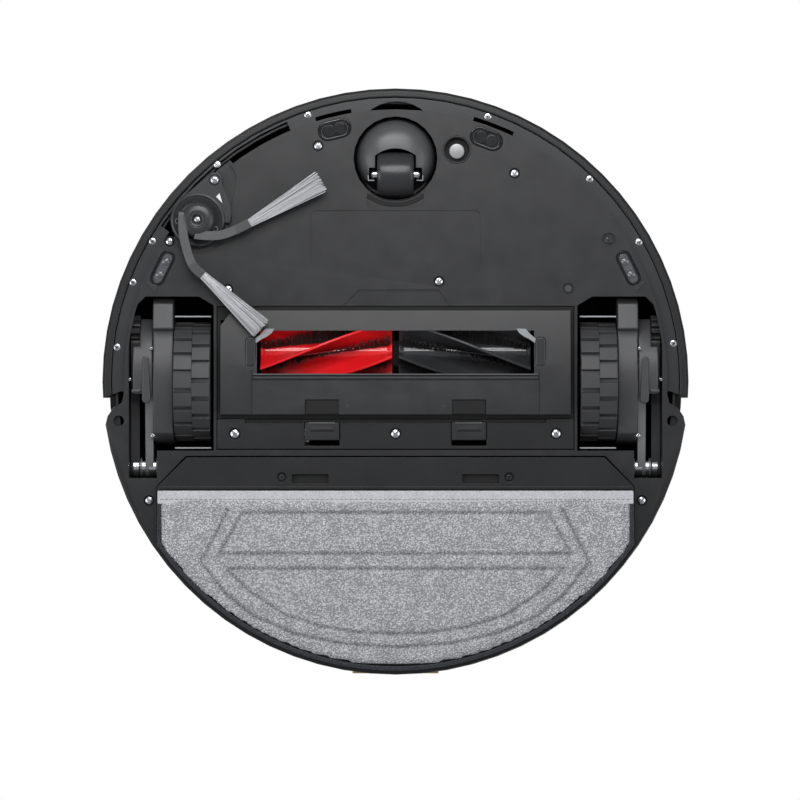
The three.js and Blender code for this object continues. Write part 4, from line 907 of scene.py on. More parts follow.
class ROBOT_OT_wheels(bpy.types.Operator):
    """Drive wheels with lugged tyres, and their drive cases, guards, arms and gears"""

    bl_idname = "robot.wheels"
    bl_label = "Drive wheels"

    def execute(self, context):
        for label, side in SIDES.items():
            self.wheel(label)
            self.drive_case(label, side)
            self.swing_parts(label, side)
            self.well_highlights(label, side)
        return {"FINISHED"}

    def wheel(self, label):
        """The tyre with its two rows of blocks, the second between those of the first, and its hub."""
        low, high = corners(f"{label}_tyre")
        radius = high.z / 2
        middle, half = (low.x + high.x) / 2, (high.x - low.x) / 2
        tread = radius - 2.6
        drum = along_x(turned([
            (radius * 0.76, -half), (tread - 0.6, -half), (tread, -half + 0.8), (tread, half - 0.8),
            (tread - 0.6, half), (radius * 0.76, half),
        ], steps=72, ring=True))
        outer_row = lug_row(-half / 2 + 0.1, half / 2, 0.0, radius)
        rows = [outer_row, lug_row(half / 2 - 0.1, half / 2 - 0.1, ROW_LAG, radius)]
        tyre = Piece(f"{label}_tyre_tread")
        for shape in (drum, *rows):
            tyre.add(moved(shape, middle, 0, radius), "tyre_rubber")
        tyre.done(f"{label}_wheel", f"{label}_tyre", sharp=40)
        hub = eased(copy_of(f"{label}_hub"), 0.5)
        Piece(f"{label}_wheel_hub").add(hub, "wheel_hub").done(f"{label}_wheel", f"{label}_hub")

    def drive_case(self, label, side):
        """The case beside the tyre: a faceted front, then one long curve."""
        low, high = corners(f"{label}_gearbox")
        inner, outer = (side * edge for edge in DRIVE_CASE)
        crown = arc(2, low.z + 90, 90, 270 - 20.6, 270 + 21.5, 16)
        outline = [
            (low.y, low.z + 9), (low.y + 3.5, low.z + 3.0), (-31.6, low.z + 0.6), (-30.4, low.z + 4.6),
            *crown[1:-1], (high.y - 4.2, low.z + 10), (high.y - 2.4, low.z + 17), (high.y, 48),
            (28, 58), (-24, high.z), (low.y + 7, 46), (low.y, 36),
        ]
        case = Piece(f"{label}_drive_case")
        case.add(across_x(outline, inner, outer, 0.9, 3), "drive_plastic_painted_light")
        axle = along_x(peg(4, 0, 22, 0.4), side * 122 - 11, 0, 36)
        case.add(axle, "steel")
        pin = moved(peg(0.9, 12.0, 16, 0.2), side * 146.4, -19.8)
        case.add(pin, "chrome")
        case.add(moved(screw_head(1.4, 0.8), side * 146.0, 32.4, 20), "steel")
        case.done(f"{label}_arm", f"{label}_gearbox")

    def swing_parts(self, label, side):
        """The guard and its lever, the arm, the lift gears, and the pin with its bushes."""
        guard = Piece(f"{label}_guard").add(eased(copy_of(f"{label}_lift_guard"), 0.8, 3), "drive_plastic_painted_light")
        guard.add(block(*sorted((side * 158.6, side * 152.8)), 4.4, 6.8, 13.2, 20, 0.9, 3), "drive_plastic_painted_light")
        lever = prism(strap((side * 149.9, -13.2), 1.9, (side * 149.4, 10.5), 2.7), 11.4, 17, 0.9, 3)
        guard.add(lever, "drive_plastic_painted_light")
        guard.add(moved(peg(0.9, 12.0, 20, 0.2), side * 159.4, -1.2), "chrome")
        guard.done(f"{label}_arm", f"{label}_lift_guard")
        arm = eased(copy_of(f"{label}_swing_arm"), 0.4)
        Piece(f"{label}_arm_strip").add(arm, "grey_steel").done(f"{label}_arm", f"{label}_swing_arm")
        quadrant = eased(copy_of(f"{label}_lift_sector"), 0.15)
        Piece(f"{label}_quadrant").add(quadrant, "arm_plastic").done(f"{label}_arm", f"{label}_lift_sector")
        gear = eased(copy_of(f"{label}_lift_pinion"), 0.25)
        Piece(f"{label}_gear").add(gear, "drive_plastic_painted_light").done(f"{label}_pinion", f"{label}_lift_pinion")
        low, high = corners(f"{label}_pivot_pin")
        y, z = (low.y + high.y) / 2, (low.z + high.z) / 2
        bush = Piece(f"{label}_bush")
        for start, end in BUSHES:
            barrel = along_x(turned([
                (3.3, start), (5.2, start), (6.1, start + 0.8), (6.1, end - 0.8), (5.2, end), (3.3, end),
            ], steps=40, ring=True), 0, y, z)
            bush.add(barrel if side > 0 else mirrored(barrel), "chrome")
        bush.done(f"{label}_arm")
        pin = eased(copy_of(f"{label}_pivot_pin"), 0.4)
        Piece(f"{label}_hinge_pin").add(pin, "steel").done("chassis", f"{label}_pivot_pin")

    def well_highlights(self, label, side):
        """Pale strips across the well, before and behind the tyre: painted highlights for the lit edges of
        the well's walls.
        """
        highlight_strips = Piece(f"{label}_well_highlight_strips")
        for y in WELL_HIGHLIGHT_LINES:
            highlight_strip = block(*sorted((side * 110.6, side * 132.4)), y - 0.45, y + 0.45, 14.9, 18, 0.2)
            highlight_strips.add(highlight_strip, "pale_plastic")
        highlight_strips.done("chassis")


class ROBOT_OT_caster(bpy.types.Operator):
    """Caster with its domed yoke, barrel wheel, axle and well lip"""

    bl_idname = "robot.caster"
    bl_label = "Caster"

    def execute(self, context):
        low, high = corners("caster_yoke")
        x, y = middle_of(low, high)
        radius = (high.x - low.x) / 2
        axle = (corners("caster_axle")[0] + corners("caster_axle")[1]) / 2
        dome = moved(turned([
            (0, low.z), (6, low.z + 0.1), (11, low.z + 0.6), (15.5, low.z + 1.8), (19, low.z + 3.8),
            (21.8, low.z + 7), (23.4, low.z + 11), (radius, low.z + 15), (radius, 33), (22.6, 33),
            (22.6, 22), (20, 17), (12, 13.5), (0, 12.5),
        ], steps=96), x, y)
        mouth = arc(x, y + 14.3, 19.4, 270 - 39.3, 270 + 39.3, 16)
        tools = [
            prism([*mouth, (12.3, y + 30), (-12.3, y + 30)], 0, 28),
            block(-16.0, 16.0, axle.y - 4.0, axle.y + 3.5, 0, 27.9),
            block(-30, 30, axle.y + 3.4, y + 31, 0, 29),
        ]
        yoke = Piece("caster_dome").add(eased(cut(dome, tools), 0.35, 2, 40), "dome_plastic_painted_light")
        crown = moved(turned([(0, 30), (22.4, 30), (22.4, 33), (5, 34.5), (4, 43), (0, 43)]), x, y)
        yoke.add(crown, "shadow")
        # Pale strips along each slot's side and foot: the slot frames' edges, pale-coloured as a painted
        # highlight.
        for side in SIDES.values():
            edge = block(*sorted((side * 16.0, side * 16.6)), axle.y - 4, axle.y + 3.6, 13.0, 17, 0.15)
            foot = block(*sorted((side * 12.6, side * 16.6)), axle.y + 3.2, axle.y + 3.8, 13.0, 17, 0.15)
            yoke.add(edge, "pale_plastic").add(foot, "pale_plastic")
        yoke.done("caster_swivel", "caster_yoke")

        pin = along_x(turned([
            (0, -14.6), (1.6, -14.6), (2.4, -13.6), (2.4, 13.6), (1.6, 14.6), (0, 14.6),
        ], steps=32), 0, axle.y, axle.z)
        Piece("caster_pin").add(pin, "chrome").done("caster_swivel", "caster_axle")
        barrel_low, barrel_high = corners("caster_roller")
        r, half = (barrel_high.z - barrel_low.z) / 2, barrel_high.x
        barrel = along_x(turned([
            (2.6, -half), (r - 2.4, -half), (r - 1.2, -half + 0.6), (r - 0.6, -half + 2.2),
            (r - 0.15, -half * 0.45), (r, 0), (r - 0.15, half * 0.45), (r - 0.6, half - 2.2),
            (r - 1.2, half - 0.6), (r - 2.4, half), (2.6, half),
        ], steps=96, ring=True), 0, axle.y, axle.z)
        Piece("caster_barrel").add(barrel, "barrel_plastic").done("caster_wheel", "caster_roller", sharp=60)

        under = corners("base_plate")[0].z
        spread = math.degrees(math.asin(17 / 29))
        outer = arc(x, y, 29.6, 90 - spread, 90 + spread, 14)
        inner = arc(x, y, 25.6, 90 + spread, 90 - spread, 14)
        lip = prism(outer + inner, under + 0.5, under + 1.4, 0.2)
        ridge_outer = arc(x, y, 27.3, 90 - 38, 90 + 38, 14)
        ridge_inner = arc(x, y, 26.7, 90 + 38, 90 - 38, 14)
        ridge = prism(ridge_outer + ridge_inner, under + 0.1, under + 1.0, 0.12)
        Piece("caster_well_lip").add(lip, "shadow").add(ridge, "arm_plastic").done("chassis")
        return {"FINISHED"}


# ---- Side brush -------------------------------------------------------------------------------

# The middle lines of the two rubber arms from the hub's middle, and where each tuft's tip lies.
FLEX_ROUTES = [
    ([(-7.6, -4.0), (-8.6, 2.0), (-7.8, 12.0), (-3.2, 26.4), (3.2, 33.2)], (38.5, 65.8)),
    ([(-1.0, 8.2), (4.4, 9.6), (13.6, 9.4), (23.0, 6.2), (31.2, 2.2)], (74.5, -23.2)),
]
FLEX_WIDTH = 5.4
SLEEVE_POINTS = 9
TUFT_ROOT, TUFT_TIP = 2.3, 5.6
HUB_STAND = 1.8

# The arm's pivot, and the fin beside it: its middle line and its half width from point to point.
ARM_PIVOT = (-108.4, -120.8)
ARM_FIN = [(-104.6, -117.5), (-102.9, -110.0), (-100.9, -102.4), (-101.0, -95.0)]
ARM_FIN_WIDTHS = [
    1.2, 1.3, 1.4, 1.6, 1.8, 2.0, 2.2, 2.3, 2.4, 2.5, 2.5, 2.5, 2.5, 2.4, 2.3, 2.2, 2.1, 2.0, 1.9,
]


def tuft(route, tip, seed):
    """A fan of bristles from the end of a rubber arm to its tip."""
    dice = random.Random(seed)
    root, end = Vector((*route[-1], 0)), Vector((*tip, 0))
    along = (end - root).normalized()
    across = Vector((-along.y, along.x, 0))
    reach = (end - root).length
    fan = bmesh.new()
    for _ in range(bpy.context.scene.robot_sizes.strands):
        offset = dice.uniform(-1, 1)
        stray = dice.gauss(0, 0.55) if dice.random() < 0.85 else dice.gauss(0, 1.7)
        start = root + across * offset * TUFT_ROOT + Vector((0, 0, dice.uniform(3.2, 5.4)))
        stop = root + along * reach * dice.uniform(0.95, 1.0)
        stop += across * (offset * TUFT_TIP + stray) + Vector((0, 0, dice.uniform(1.2, 3.9)))
        line = stop - start
        turn = Vector((0, 0, 1)).rotation_difference(line).to_matrix().to_4x4()
        place = Matrix.Translation((start + stop) / 2) @ turn
        width = mm("strand") * dice.uniform(0.85, 1.25)
        bmesh.ops.create_cone(
            fan, cap_ends=True, segments=5, radius1=width, radius2=width * 0.8, depth=line.length,
            matrix=place,
        )
    return fan


class ROBOT_OT_side_brush(bpy.types.Operator):
    """Side brush: swinging arm, domed hub, rubber arms and bristle tufts"""

    bl_idname = "robot.side_brush"
    bl_label = "Side brush"

    def execute(self, context):
        low, high = corners("side_brush_hub")
        hub = middle_of(low, high)
        self.arm(hub)
        self.hub(hub, low.z)
        self.flex(hub)
        return {"FINISHED"}

    def arm(self, hub):
        """The swinging arm with its raised ring, its pivot screw and its pale mark."""
        low, high = corners("side_brush_arm")
        piece = Piece("brush_arm_plate")
        plate = prism(strap(hub, 16.3, ARM_PIVOT, 4.6, 20), low.z + 0.9, high.z - 3, 0.7, 3)
        shaft = moved(peg(4, high.z - 4, high.z, 0.3), *ARM_PIVOT)
        ring = moved(turned([
            (13.4, 0.6), (13.9, -0.6), (14.9, -1.1), (15.9, -0.7), (16.5, 0.5), (16.5, 2.6), (13.4, 2.6),
        ], steps=72, ring=True), *hub, low.z + 1.2)
        well = moved(peg(13.5, low.z + 0.55, low.z + 1.2, 0.0, 64), *hub)
        fin = prism(ribbon(smooth_route(ARM_FIN), ARM_FIN_WIDTHS), low.z + 1.2, high.z - 3, 0.5)
        piece.add(plate, "arm_plastic").add(shaft, "arm_plastic").add(ring, "arm_plastic")
        piece.add(well, "shadow").add(fin, "arm_plastic")
        for turn in (176, 28):
            clip = turned([(1.0, 0), (1.9, 0), (1.9, 1.2), (1.0, 1.2)], steps=24, ring=True, ease=0.15)
            x = hub[0] + 11.9 * math.cos(math.radians(turn))
            y = hub[1] + 11.9 * math.sin(math.radians(turn))
            piece.add(moved(clip, x, y, low.z - 0.1), "flex_rubber")
        mark = prism([(-107.4, -110.6), (-105.4, -112.8), (-103.7, -106.8)], low.z + 0.55, low.z + 0.95)
        piece.add(mark, "pale_mark")
        socket = moved(peg(3.4, low.z + 0.7, low.z + 1.1), *ARM_PIVOT)
        piece.add(socket, "shadow")
        piece.add(moved(screw_head(2.5, 1.0), *ARM_PIVOT, low.z + 0.8), "steel")
        piece.done("brush_arm", "side_brush_arm")

    def hub(self, hub, low):
        """The domed hub with its stepped middle and screw, standing below the arms' roots."""
        low -= HUB_STAND
        dome = turned([
            (0, low + 2.2), (2.6, low + 2.2), (2.9, low + 0.7), (3.4, low + 0.25), (4.4, low + 0.3),
            (4.7, low + 0.75), (5.3, low + 0.6), (7.4, low + 0.8), (9.2, low + 1.6), (10.3, low + 2.8),
            (10.8, low + 4.4), (10.8, low + 5.2), (0, low + 5.2),
        ], steps=72)
        shaft = peg(3, low + 5, low + 8.4)
        piece = Piece("brush_hub_dome").add(moved(dome, *hub), "hub_plastic").add(moved(shaft, *hub), "steel")
        piece.add(moved(screw_head(1.9, 0.7), *hub, low + 1.6), "steel")
        piece.done("side_brush", "side_brush_hub", sharp=45)

    def flex(self, hub):
        """The two rubber arms with their sleeves, and their bristles."""
        low, high = corners("side_brush_flex")
        rubber = Piece("rubber_arms")
        for number, (route, tip) in enumerate(FLEX_ROUTES):
            line = smooth_route(route, 8)
            half = FLEX_WIDTH / 2
            widths = [half + 0.9 * math.exp(-(i / 5) ** 2) for i in range(len(line))]
            arm = prism(ribbon(line, widths), low.z, high.z, 1.1, 3)
            rubber.add(moved(arm, *hub), "flex_rubber")
            end = ribbon(line[-SLEEVE_POINTS:], [half + 0.25] * SLEEVE_POINTS)
            sleeve = prism(end, low.z - 0.2, high.z + 0.1, 1.0, 3)
            rubber.add(moved(sleeve, *hub), "sleeve_rubber")
            name = "bristle_tuft_" + "ab"[number]
            bristles = moved(tuft(route, tip, 11 + number), *hub)
            Piece(f"bristles_{number + 1}").add(bristles, "bristles").done("side_brush", name)
        rubber.done("side_brush", "side_brush_flex", sharp=50)


# ---- Main brush -------------------------------------------------------------------------------

FINS = 5
TWIST = 1.2
FIN_PHASE = 31.3
BRISTLE_LAG = 22.0


def twisted(shape, x0, phase):
    """Turns a shape about the roller's axis, more the further it is from the roller's outer end."""
    for vert in shape.verts:
        turn = math.radians(phase + FIN_PHASE - TWIST * abs(vert.co.x - x0))
        vert.co = Matrix.Rotation(turn, 3, "X") @ vert.co
    return shape


def blade(x0, x1, thickness, core, tip):
    """A straight rubber fin below the axis, cut into short lengths along it."""
    fin = block(min(x0, x1), max(x0, x1), -thickness / 2, thickness / 2, -tip, -core)
    for vert in fin.verts:
        if vert.co.z < -tip + 0.1:
            vert.co.y *= 0.62
    eased(fin, 0.35, 2)
    lengthwise = [
        edge for edge in fin.edges
        if abs(edge.verts[0].co.x - edge.verts[1].co.x) > abs(x1 - x0) * 0.9
    ]
    bmesh.ops.subdivide_edges(fin, edges=lengthwise, cuts=28, use_grid_fill=True)
    return fin


def bristle_row(x0, x1, core, tip, seed):
    """A row of short bristles below the axis."""
    dice = random.Random(seed)
    row = bmesh.new()
    start, stop = min(x0, x1) + 1.2, max(x0, x1) - 1.2
    count = int((stop - start) / 0.32)
    for i in range(count):
        x = start + (stop - start) * i / count
        reach = tip * dice.uniform(0.9, 1.0)
        root = Vector((x, dice.uniform(-0.5, 0.5), -core))
        end = Vector((x + dice.gauss(0, 0.7), dice.gauss(0, 0.75), -reach))
        line = end - root
        turn = Vector((0, 0, 1)).rotation_difference(line).to_matrix().to_4x4()
        bmesh.ops.create_cone(
            row, cap_ends=True, segments=4, radius1=0.32, radius2=0.2, depth=line.length,
            matrix=Matrix.Translation((root + end) / 2) @ turn,
        )
    return row


class ROBOT_OT_rollers(bpy.types.Operator):
    """Red and black rollers with helical rubber fins and rows of bristles"""

    bl_idname = "robot.rollers"
    bl_label = "Rollers"

    def execute(self, context):
        for name, side in (("red", -1), ("black", 1)):
            low, high = corners(f"{name}_roller")
            outer, inner = (low.x, high.x) if side < 0 else (high.x, low.x)
            y, z, tip = (low.y + high.y) / 2, (low.z + high.z) / 2, (high.z - low.z) / 2 - 0.15
            roller = Piece(f"{name}_brush_roller")
            core = along_x(turned([
                (0, 0), (5.2, 0), (6.4, 0.8), (6.4, abs(outer - inner)), (0, abs(outer - inner)),
            ], steps=64), min(outer, inner), 0, 0)
            roller.add(moved(core, 0, y, z), f"{name}_core")
            for end, width, wide, narrow in ((outer, 2.6, 8.6, 7.2), (inner, -3.4, 7.6, 6.2)):
                collar = along_x(turned([
                    (0, 0), (wide, 0), (wide, abs(width) * 0.25), (narrow, abs(width)), (0, abs(width)),
                ], steps=64, ease=0.3))
                if (width > 0) == (side > 0):
                    collar = mirrored(collar)
                roller.add(moved(collar, end, y, z), f"{name}_rubber")
            for i in range(FINS):
                phase = 360.0 * i / FINS
                fin = twisted(blade(outer, inner, mm("fin"), 5.8, tip), outer, phase)
                roller.add(moved(fin, 0, y, z), f"{name}_rubber")
            roller.done(f"{name}_roller", f"{name}_roller", sharp=50)
            rows = Piece(f"{name}_roller_bristles")
            for i in range(FINS):
                phase = 360.0 * i / FINS + BRISTLE_LAG
                row = twisted(bristle_row(outer, inner, 6.2, tip - 4.5, 31 + i), outer, phase)
                rows.add(moved(row, 0, y, z), "dark_bristles")
            rows.done(f"{name}_roller")
        return {"FINISHED"}


class ROBOT_OT_cover(bpy.types.Operator):
    """Brush cover with its sloping front, bearing caps and grooves, its latches and the plate behind"""

    bl_idname = "robot.cover"
    bl_label = "Brush cover"

    def execute(self, context):
        low, high = corners("brush_cover")
        self.shell(low, high)
        self.trim(low)
        self.latches()
        self.rear_plate()
        return {"FINISHED"}

    def shell(self, low, high):
        """The cover itself: its front slopes up from a line level with the bearing caps' rear."""
        crease, rise = -11.0, 4.2
        tools = []
        for side in SIDES.values():
            tools.append(block(*sorted((side * 85.7, side * 86.2)), -6.6, high.y + 1, low.z - 1, low.z + 0.7))
        tools.append(block(-85.6, 85.6, -3.9, -0.5, low.z - 1, low.z + 1.3))
        cover = cut(copy_of("brush_cover"), tools)
        bmesh.ops.bisect_plane(
            cover, geom=[*cover.verts, *cover.edges, *cover.faces], dist=0.001,
            plane_co=(0, crease, 0), plane_no=(0, 1, 0),
        )
        share = rise / (crease - low.y)
        for vert in cover.verts:
            if vert.co.y < crease and vert.co.z < low.z + 2.5:
                vert.co.z += (crease - vert.co.y) * share
        bmesh.ops.recalc_face_normals(cover, faces=cover.faces)
        bmesh.ops.triangulate(cover, faces=[face for face in cover.faces if len(face.verts) > 4])
        bmesh.ops.dissolve_limit(cover, angle_limit=math.radians(1.5), verts=cover.verts, edges=cover.edges)
        moulding = Piece("brush_cover_moulding").add(eased(cover, 0.4), "cover_plastic_painted_light")
        moulding.done("brush_cover", "brush_cover")

    def trim(self, low):
        """Bearing caps, their pale bearings, the bar in the groove and small arrow marks."""
        trim = Piece("brush_cover_trim")
        for side in SIDES.values():
            outline = box_outline(*sorted((side * 83.6, side * 90.0)), -26.8, -8.7, 2.4)
            cap = prism(outline, low.z - 0.5, low.z + 4, 1.3, 3)
            trim.add(cap, "arm_plastic")
            bearing = [
                (-84.3, -25.4), (-80.5, -28.6), (-77.9, -31.6), (-72.4, -31.6), (-74.0, -29.0),
                (-76.8, -26.9), (-80.2, -25.2), (-83.6, -22.8),
            ]
            bearing = prism(bearing, low.z + 0.6, low.z + 3, 0.3)
            trim.add(bearing if side < 0 else mirrored(bearing), "pale_plastic")
            arrow = prism([
                (side * 29.6, 13.2), (side * 27.0, 14.6), (side * 29.6, 16.0),
            ], low.z - 0.12, low.z + 0.2)
            trim.add(arrow, "arm_plastic")
            recess = block(*sorted((side * 33.6, side * 53.8)), 11.2, 19.2, low.z + 0.7, low.z + 1.2)
            trim.add(recess, "shadow")
        trim.add(block(-85.4, 85.4, -2.8, -1.5, low.z + 0.35, low.z + 1.4, 0.25), "arm_plastic")
        trim.add(block(-85.4, 85.4, -4.55, -4.05, low.z - 0.12, low.z + 1.0, 0.12), "pale_line")
        trim.done("brush_cover")

    def latches(self):
        """The two latch tabs, each with its pale bar."""
        for label in SIDES:
            low, high = corners(f"{label}_cover_latch")
            tab = eased(copy_of(f"{label}_cover_latch"), 0.9, 3)
            bar = block(low.x + 2, high.x - 2.4, low.y - 0.1, low.y + 0.5, low.z + 0.6, low.z + 1.2, 0.15)
            latch = Piece(f"{label}_latch_tab").add(tab, "satin_black").add(bar, "pale_line")
            latch.done(f"{label}_cover_latch", f"{label}_cover_latch")

    def rear_plate(self):
        """The fixed plate behind the cover, with its three screws."""
        low = corners("brush_plate")[0]
        places = [(x, 31.4) for x in (-96.4, 0, 96.4)]
        ring = 3.5
        wells = [moved(peg(ring, low.z - 1, low.z + 1.4), x, y) for x, y in places]
        wells.append(block(-90.4, 90.4, low.y - 1, 24.6, low.z - 1, low.z + 1.3))
        plate = eased(cut(copy_of("brush_plate"), wells), 0.4)
        Piece("rear_plate").add(plate, "satin_black").done("chassis", "brush_plate")
        heads = copies(screw_head(2.7, 1.2), places, low.z + 1.2)
        floors = joined([moved(peg(ring - 0.1, low.z + 1.25, low.z + 1.4), x, y) for x, y in places])
        gap = block(-90.2, 90.2, low.y + 0.2, 24.5, low.z + 1.1, low.z + 1.4)
        screws = Piece("rear_plate_screws").add(heads, "steel").add(floors, "shadow").add(gap, "shadow")
        screws.done("chassis")


# ---- Mop --------------------------------------------------------------------------------------

SIMULATED_FRAMES = 20
SWELL_LIMIT = 1.1
HEM = 8.2
BINDING = 2.3
STITCH_PITCH = 2.9


def pad_outline(front, half, radius):
    """The pad's D: a straight front edge, short straight sides and the round rear."""
    corner = math.degrees(math.acos(half / radius))
    steps = int((180 - 2 * corner) / 2.5)
    return [(half, front), *arc(0, 0, radius, corner, 180 - corner, steps), (-half, front)]


def sewn_lines():
    """The pad's three sewn channels, as lines of points."""
    inner = [(-91.5, 78.6), (91.5, 78.6), (105, 103), (-105, 103), (-91.5, 78.6)]
    middle = [(-100.5, 112), (100.5, 112), (88, 125), (66, 139.5), (44, 146.5), (22.5, 150), (0, 150.8)]
    middle += [(-x, y) for x, y in middle[-2:0:-1]]
    outer = [(100, 77), (116, 108), (101, 127.5), (84.5, 140.5), (60, 151), (30, 157), (0, 158.9)]
    outer += [(-x, y) for x, y in outer[-2::-1]]
    return [inner, middle, outer]


def distance_to(lines, points):
    """Each point's distance to the nearest of the lines."""
    nearest = numpy.full(len(points), 1e9)
    for line in lines:
        for start, end in zip(line, line[1:]):
            a, b = numpy.array(start), numpy.array(end)
            along = b - a
            share = numpy.clip((points - a) @ along / (along @ along), 0, 1)
            gap = numpy.linalg.norm(points - a - share[:, None] * along, axis=1)
            nearest = numpy.minimum(nearest, gap)
    return nearest


def puffed(thing, pressure=4.0):
    """Fills a soft solid by cloth simulation and keeps the result, each point's move limited."""
    rest = numpy.array([vert.co[:] for vert in thing.data.vertices])
    cloth = thing.modifiers.new("fill", "CLOTH")
    settings = cloth.settings
    settings.use_pressure = True
    settings.uniform_pressure_force = pressure
    settings.effector_weights.gravity = 0.0
    settings.tension_stiffness = 40
    settings.compression_stiffness = 40
    settings.quality = 5
    scene = bpy.context.scene
    for step in range(1, SIMULATED_FRAMES + 1):
        scene.frame_set(step)
    swollen = thing.evaluated_get(bpy.context.evaluated_depsgraph_get()).data
    after = numpy.array([vert.co[:] for vert in swollen.vertices])
    thing.modifiers.remove(cloth)
    scene.frame_set(1)
    shift = after - rest
    size = numpy.linalg.norm(shift, axis=1, keepdims=True)
    limit = SWELL_LIMIT * MM
    shift *= numpy.minimum(1.0, limit / numpy.maximum(size, 1e-9))
    thing.data.vertices.foreach_set("co", (rest + shift).ravel())
    thing.data.update()


class ROBOT_OT_mop(bpy.types.Operator):
    """Mop holder, and the looped cloth pad with its hem, channels and bound edge"""

    bl_idname = "robot.mop"
    bl_label = "Mop"

    def execute(self, context):
        self.holder()
        low, high = corners("mop_pad")
        self.pad(low, high)
        self.edges(low, high)
        return {"FINISHED"}

    def holder(self):
        """The tapered holder with its slots and screws."""
        low = corners("mop_plate")[0]
        tools, holes = [], []
        for side in SIDES.values():
            slot = box_outline(*sorted((side * 40, side * 62)), 55.6, 60.9, 0.8)
            tools.append(prism(slot, low.z - 1, low.z + 2.6))
            holes.append((side * 68, 57.4))
            tools.append(moved(peg(3.0, low.z - 1, low.z + 2.2), side * 68, 57.4))
        plate = rim_rounded(cut(copy_of("mop_plate"), tools), 171.6, low.z, 1.0, 3)
        heads = copies(screw_head(2.1, 0.9), holes, low.z + 1.9)
        floors = joined([
            block(*sorted((side * 40.2, side * 61.8)), 55.8, 60.7, low.z + 2.4, low.z + 2.6)
            for side in SIDES.values()
        ])
        strip = block(-141, 141, 62.6, 64.6, low.z - 0.5, low.z + 0.4, 0.3)
        holder = Piece("mop_holder").add(eased(plate, 0.4), "satin_black").add(strip, "satin_black")
        holder.add(floors, "shadow").add(heads, "arm_plastic")
        holder.done("mop", "mop_plate")

    def pad(self, low, high):
        """The pad: swollen by simulation, then pressed in along its channels and its hem."""
        outline = pad_outline(low.y + 1.2, high.x - 1.4, high.y - 1.3)
        body = prism(outline, low.z + 1.1, high.z - 0.4, 1.2, 3)
        bmesh.ops.scale(body, verts=body.verts, vec=(MM, MM, MM))
        thing = shown("mop_cloth_pad", body)
        remesh = thing.modifiers.new("even", "REMESH")
        remesh.mode = "VOXEL"
        remesh.voxel_size = 2.6 * MM
        self.kept(thing)
        puffed(thing)
        for _ in range(2):
            fine = thing.modifiers.new("fine", "SUBSURF")
            fine.levels = fine.render_levels = 1
            self.kept(thing)
        self.sewn(thing, low)
        thing.data.materials.append(finish_of("mop_cloth"))
        thing.data.shade_smooth()
        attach(thing, "mop")
        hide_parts("mop_pad")

    def kept(self, thing):
        """Applies a piece's modifiers."""
        mesh = bpy.data.meshes.new_from_object(thing.evaluated_get(bpy.context.evaluated_depsgraph_get()))
        thing.modifiers.clear()
        thing.data = mesh

    def sewn(self, thing, low):
        """Presses the channels and the hem in, raises the pile, and stores painted shade for the channels."""
        count = len(thing.data.vertices)
        place = numpy.empty(count * 3)
        thing.data.vertices.foreach_get("co", place)
        place = place.reshape(-1, 3) / MM
        normal = numpy.empty(count * 3)
        thing.data.vertices.foreach_get("normal", normal)
        below = numpy.clip(-normal.reshape(-1, 3)[:, 2], 0, 1)
        flat = place[:, :2]
        channel = numpy.exp(-(distance_to(sewn_lines(), flat) / 1.5) ** 2)
        hem = 1 / (1 + numpy.exp((flat[:, 1] - (low.y + HEM)) / 0.35))
        loops = numpy.array([
            noise.noise(Vector((x * 0.55, y * 0.55, 3.0)))
            + 0.6 * noise.noise(Vector((x * 0.16, y * 0.16, 9.0)))
            for x, y in flat
        ])
        pile = mm("pile") * (0.5 + loops) * (1 - hem)
        depth = mm("channel") * channel * (1 - hem) + 1.1 * hem
        place[:, 2] += below * (depth - pile)
        place[:, 2] = numpy.clip(place[:, 2], low.z + 0.05, None)
        thing.data.vertices.foreach_set("co", (place * MM).ravel())
        # This attribute stores painted shade along the channels, for the cloth's colour.
        channel_shade = thing.data.attributes.new("channel_shade", "FLOAT", "POINT")
        channel_shade.data.foreach_set("value", (channel ** 2 * (1 - hem)).astype(numpy.float32))
        thing.data.update()

    def edges(self, low, high):
        """The hem with its stitches, and the dark bound edge round the rear."""
        front, half, radius = low.y, high.x, high.y
        hem = prism(
            box_outline(-half + 0.3, half - 0.3, front + 0.3, front + HEM, 0.8),
            low.z + 1.3, low.z + 3.0, 0.45, 3,
        )
        band_piece = Piece("mop_hem").add(hem, "cloth_hem")
        stitch = block(-0.95, 0.95, -0.24, 0.24, low.z + 1.05, low.z + 1.6, 0.12, 1)
        count = int((2 * half - 6) / STITCH_PITCH) + 1
        places = [(-half + 3 + STITCH_PITCH * i, front + 5.4) for i in range(count)]
        band_piece.add(joined([moved(stitch.copy(), x, y) for x, y in places]), "thread")
        stitch.free()
        band_piece.done("mop")
        corner = math.degrees(math.acos(half / radius))
        outer = [(half, front + 8), *arc(0, 0, radius, corner, 180 - corner, 72), (-half, front + 8)]
        half, radius = half - BINDING, radius - BINDING
        corner = math.degrees(math.acos(half / radius))
        inner = [(half, front + 8), *arc(0, 0, radius, corner, 180 - corner, 72), (-half, front + 8)]
        edge = prism(outer + inner[::-1], low.z + 0.9, low.z + 4.6, 0.9, 3)
        Piece("mop_binding").add(edge, "cloth_binding").done("mop")


# ---- Top --------------------------------------------------------------------------------------

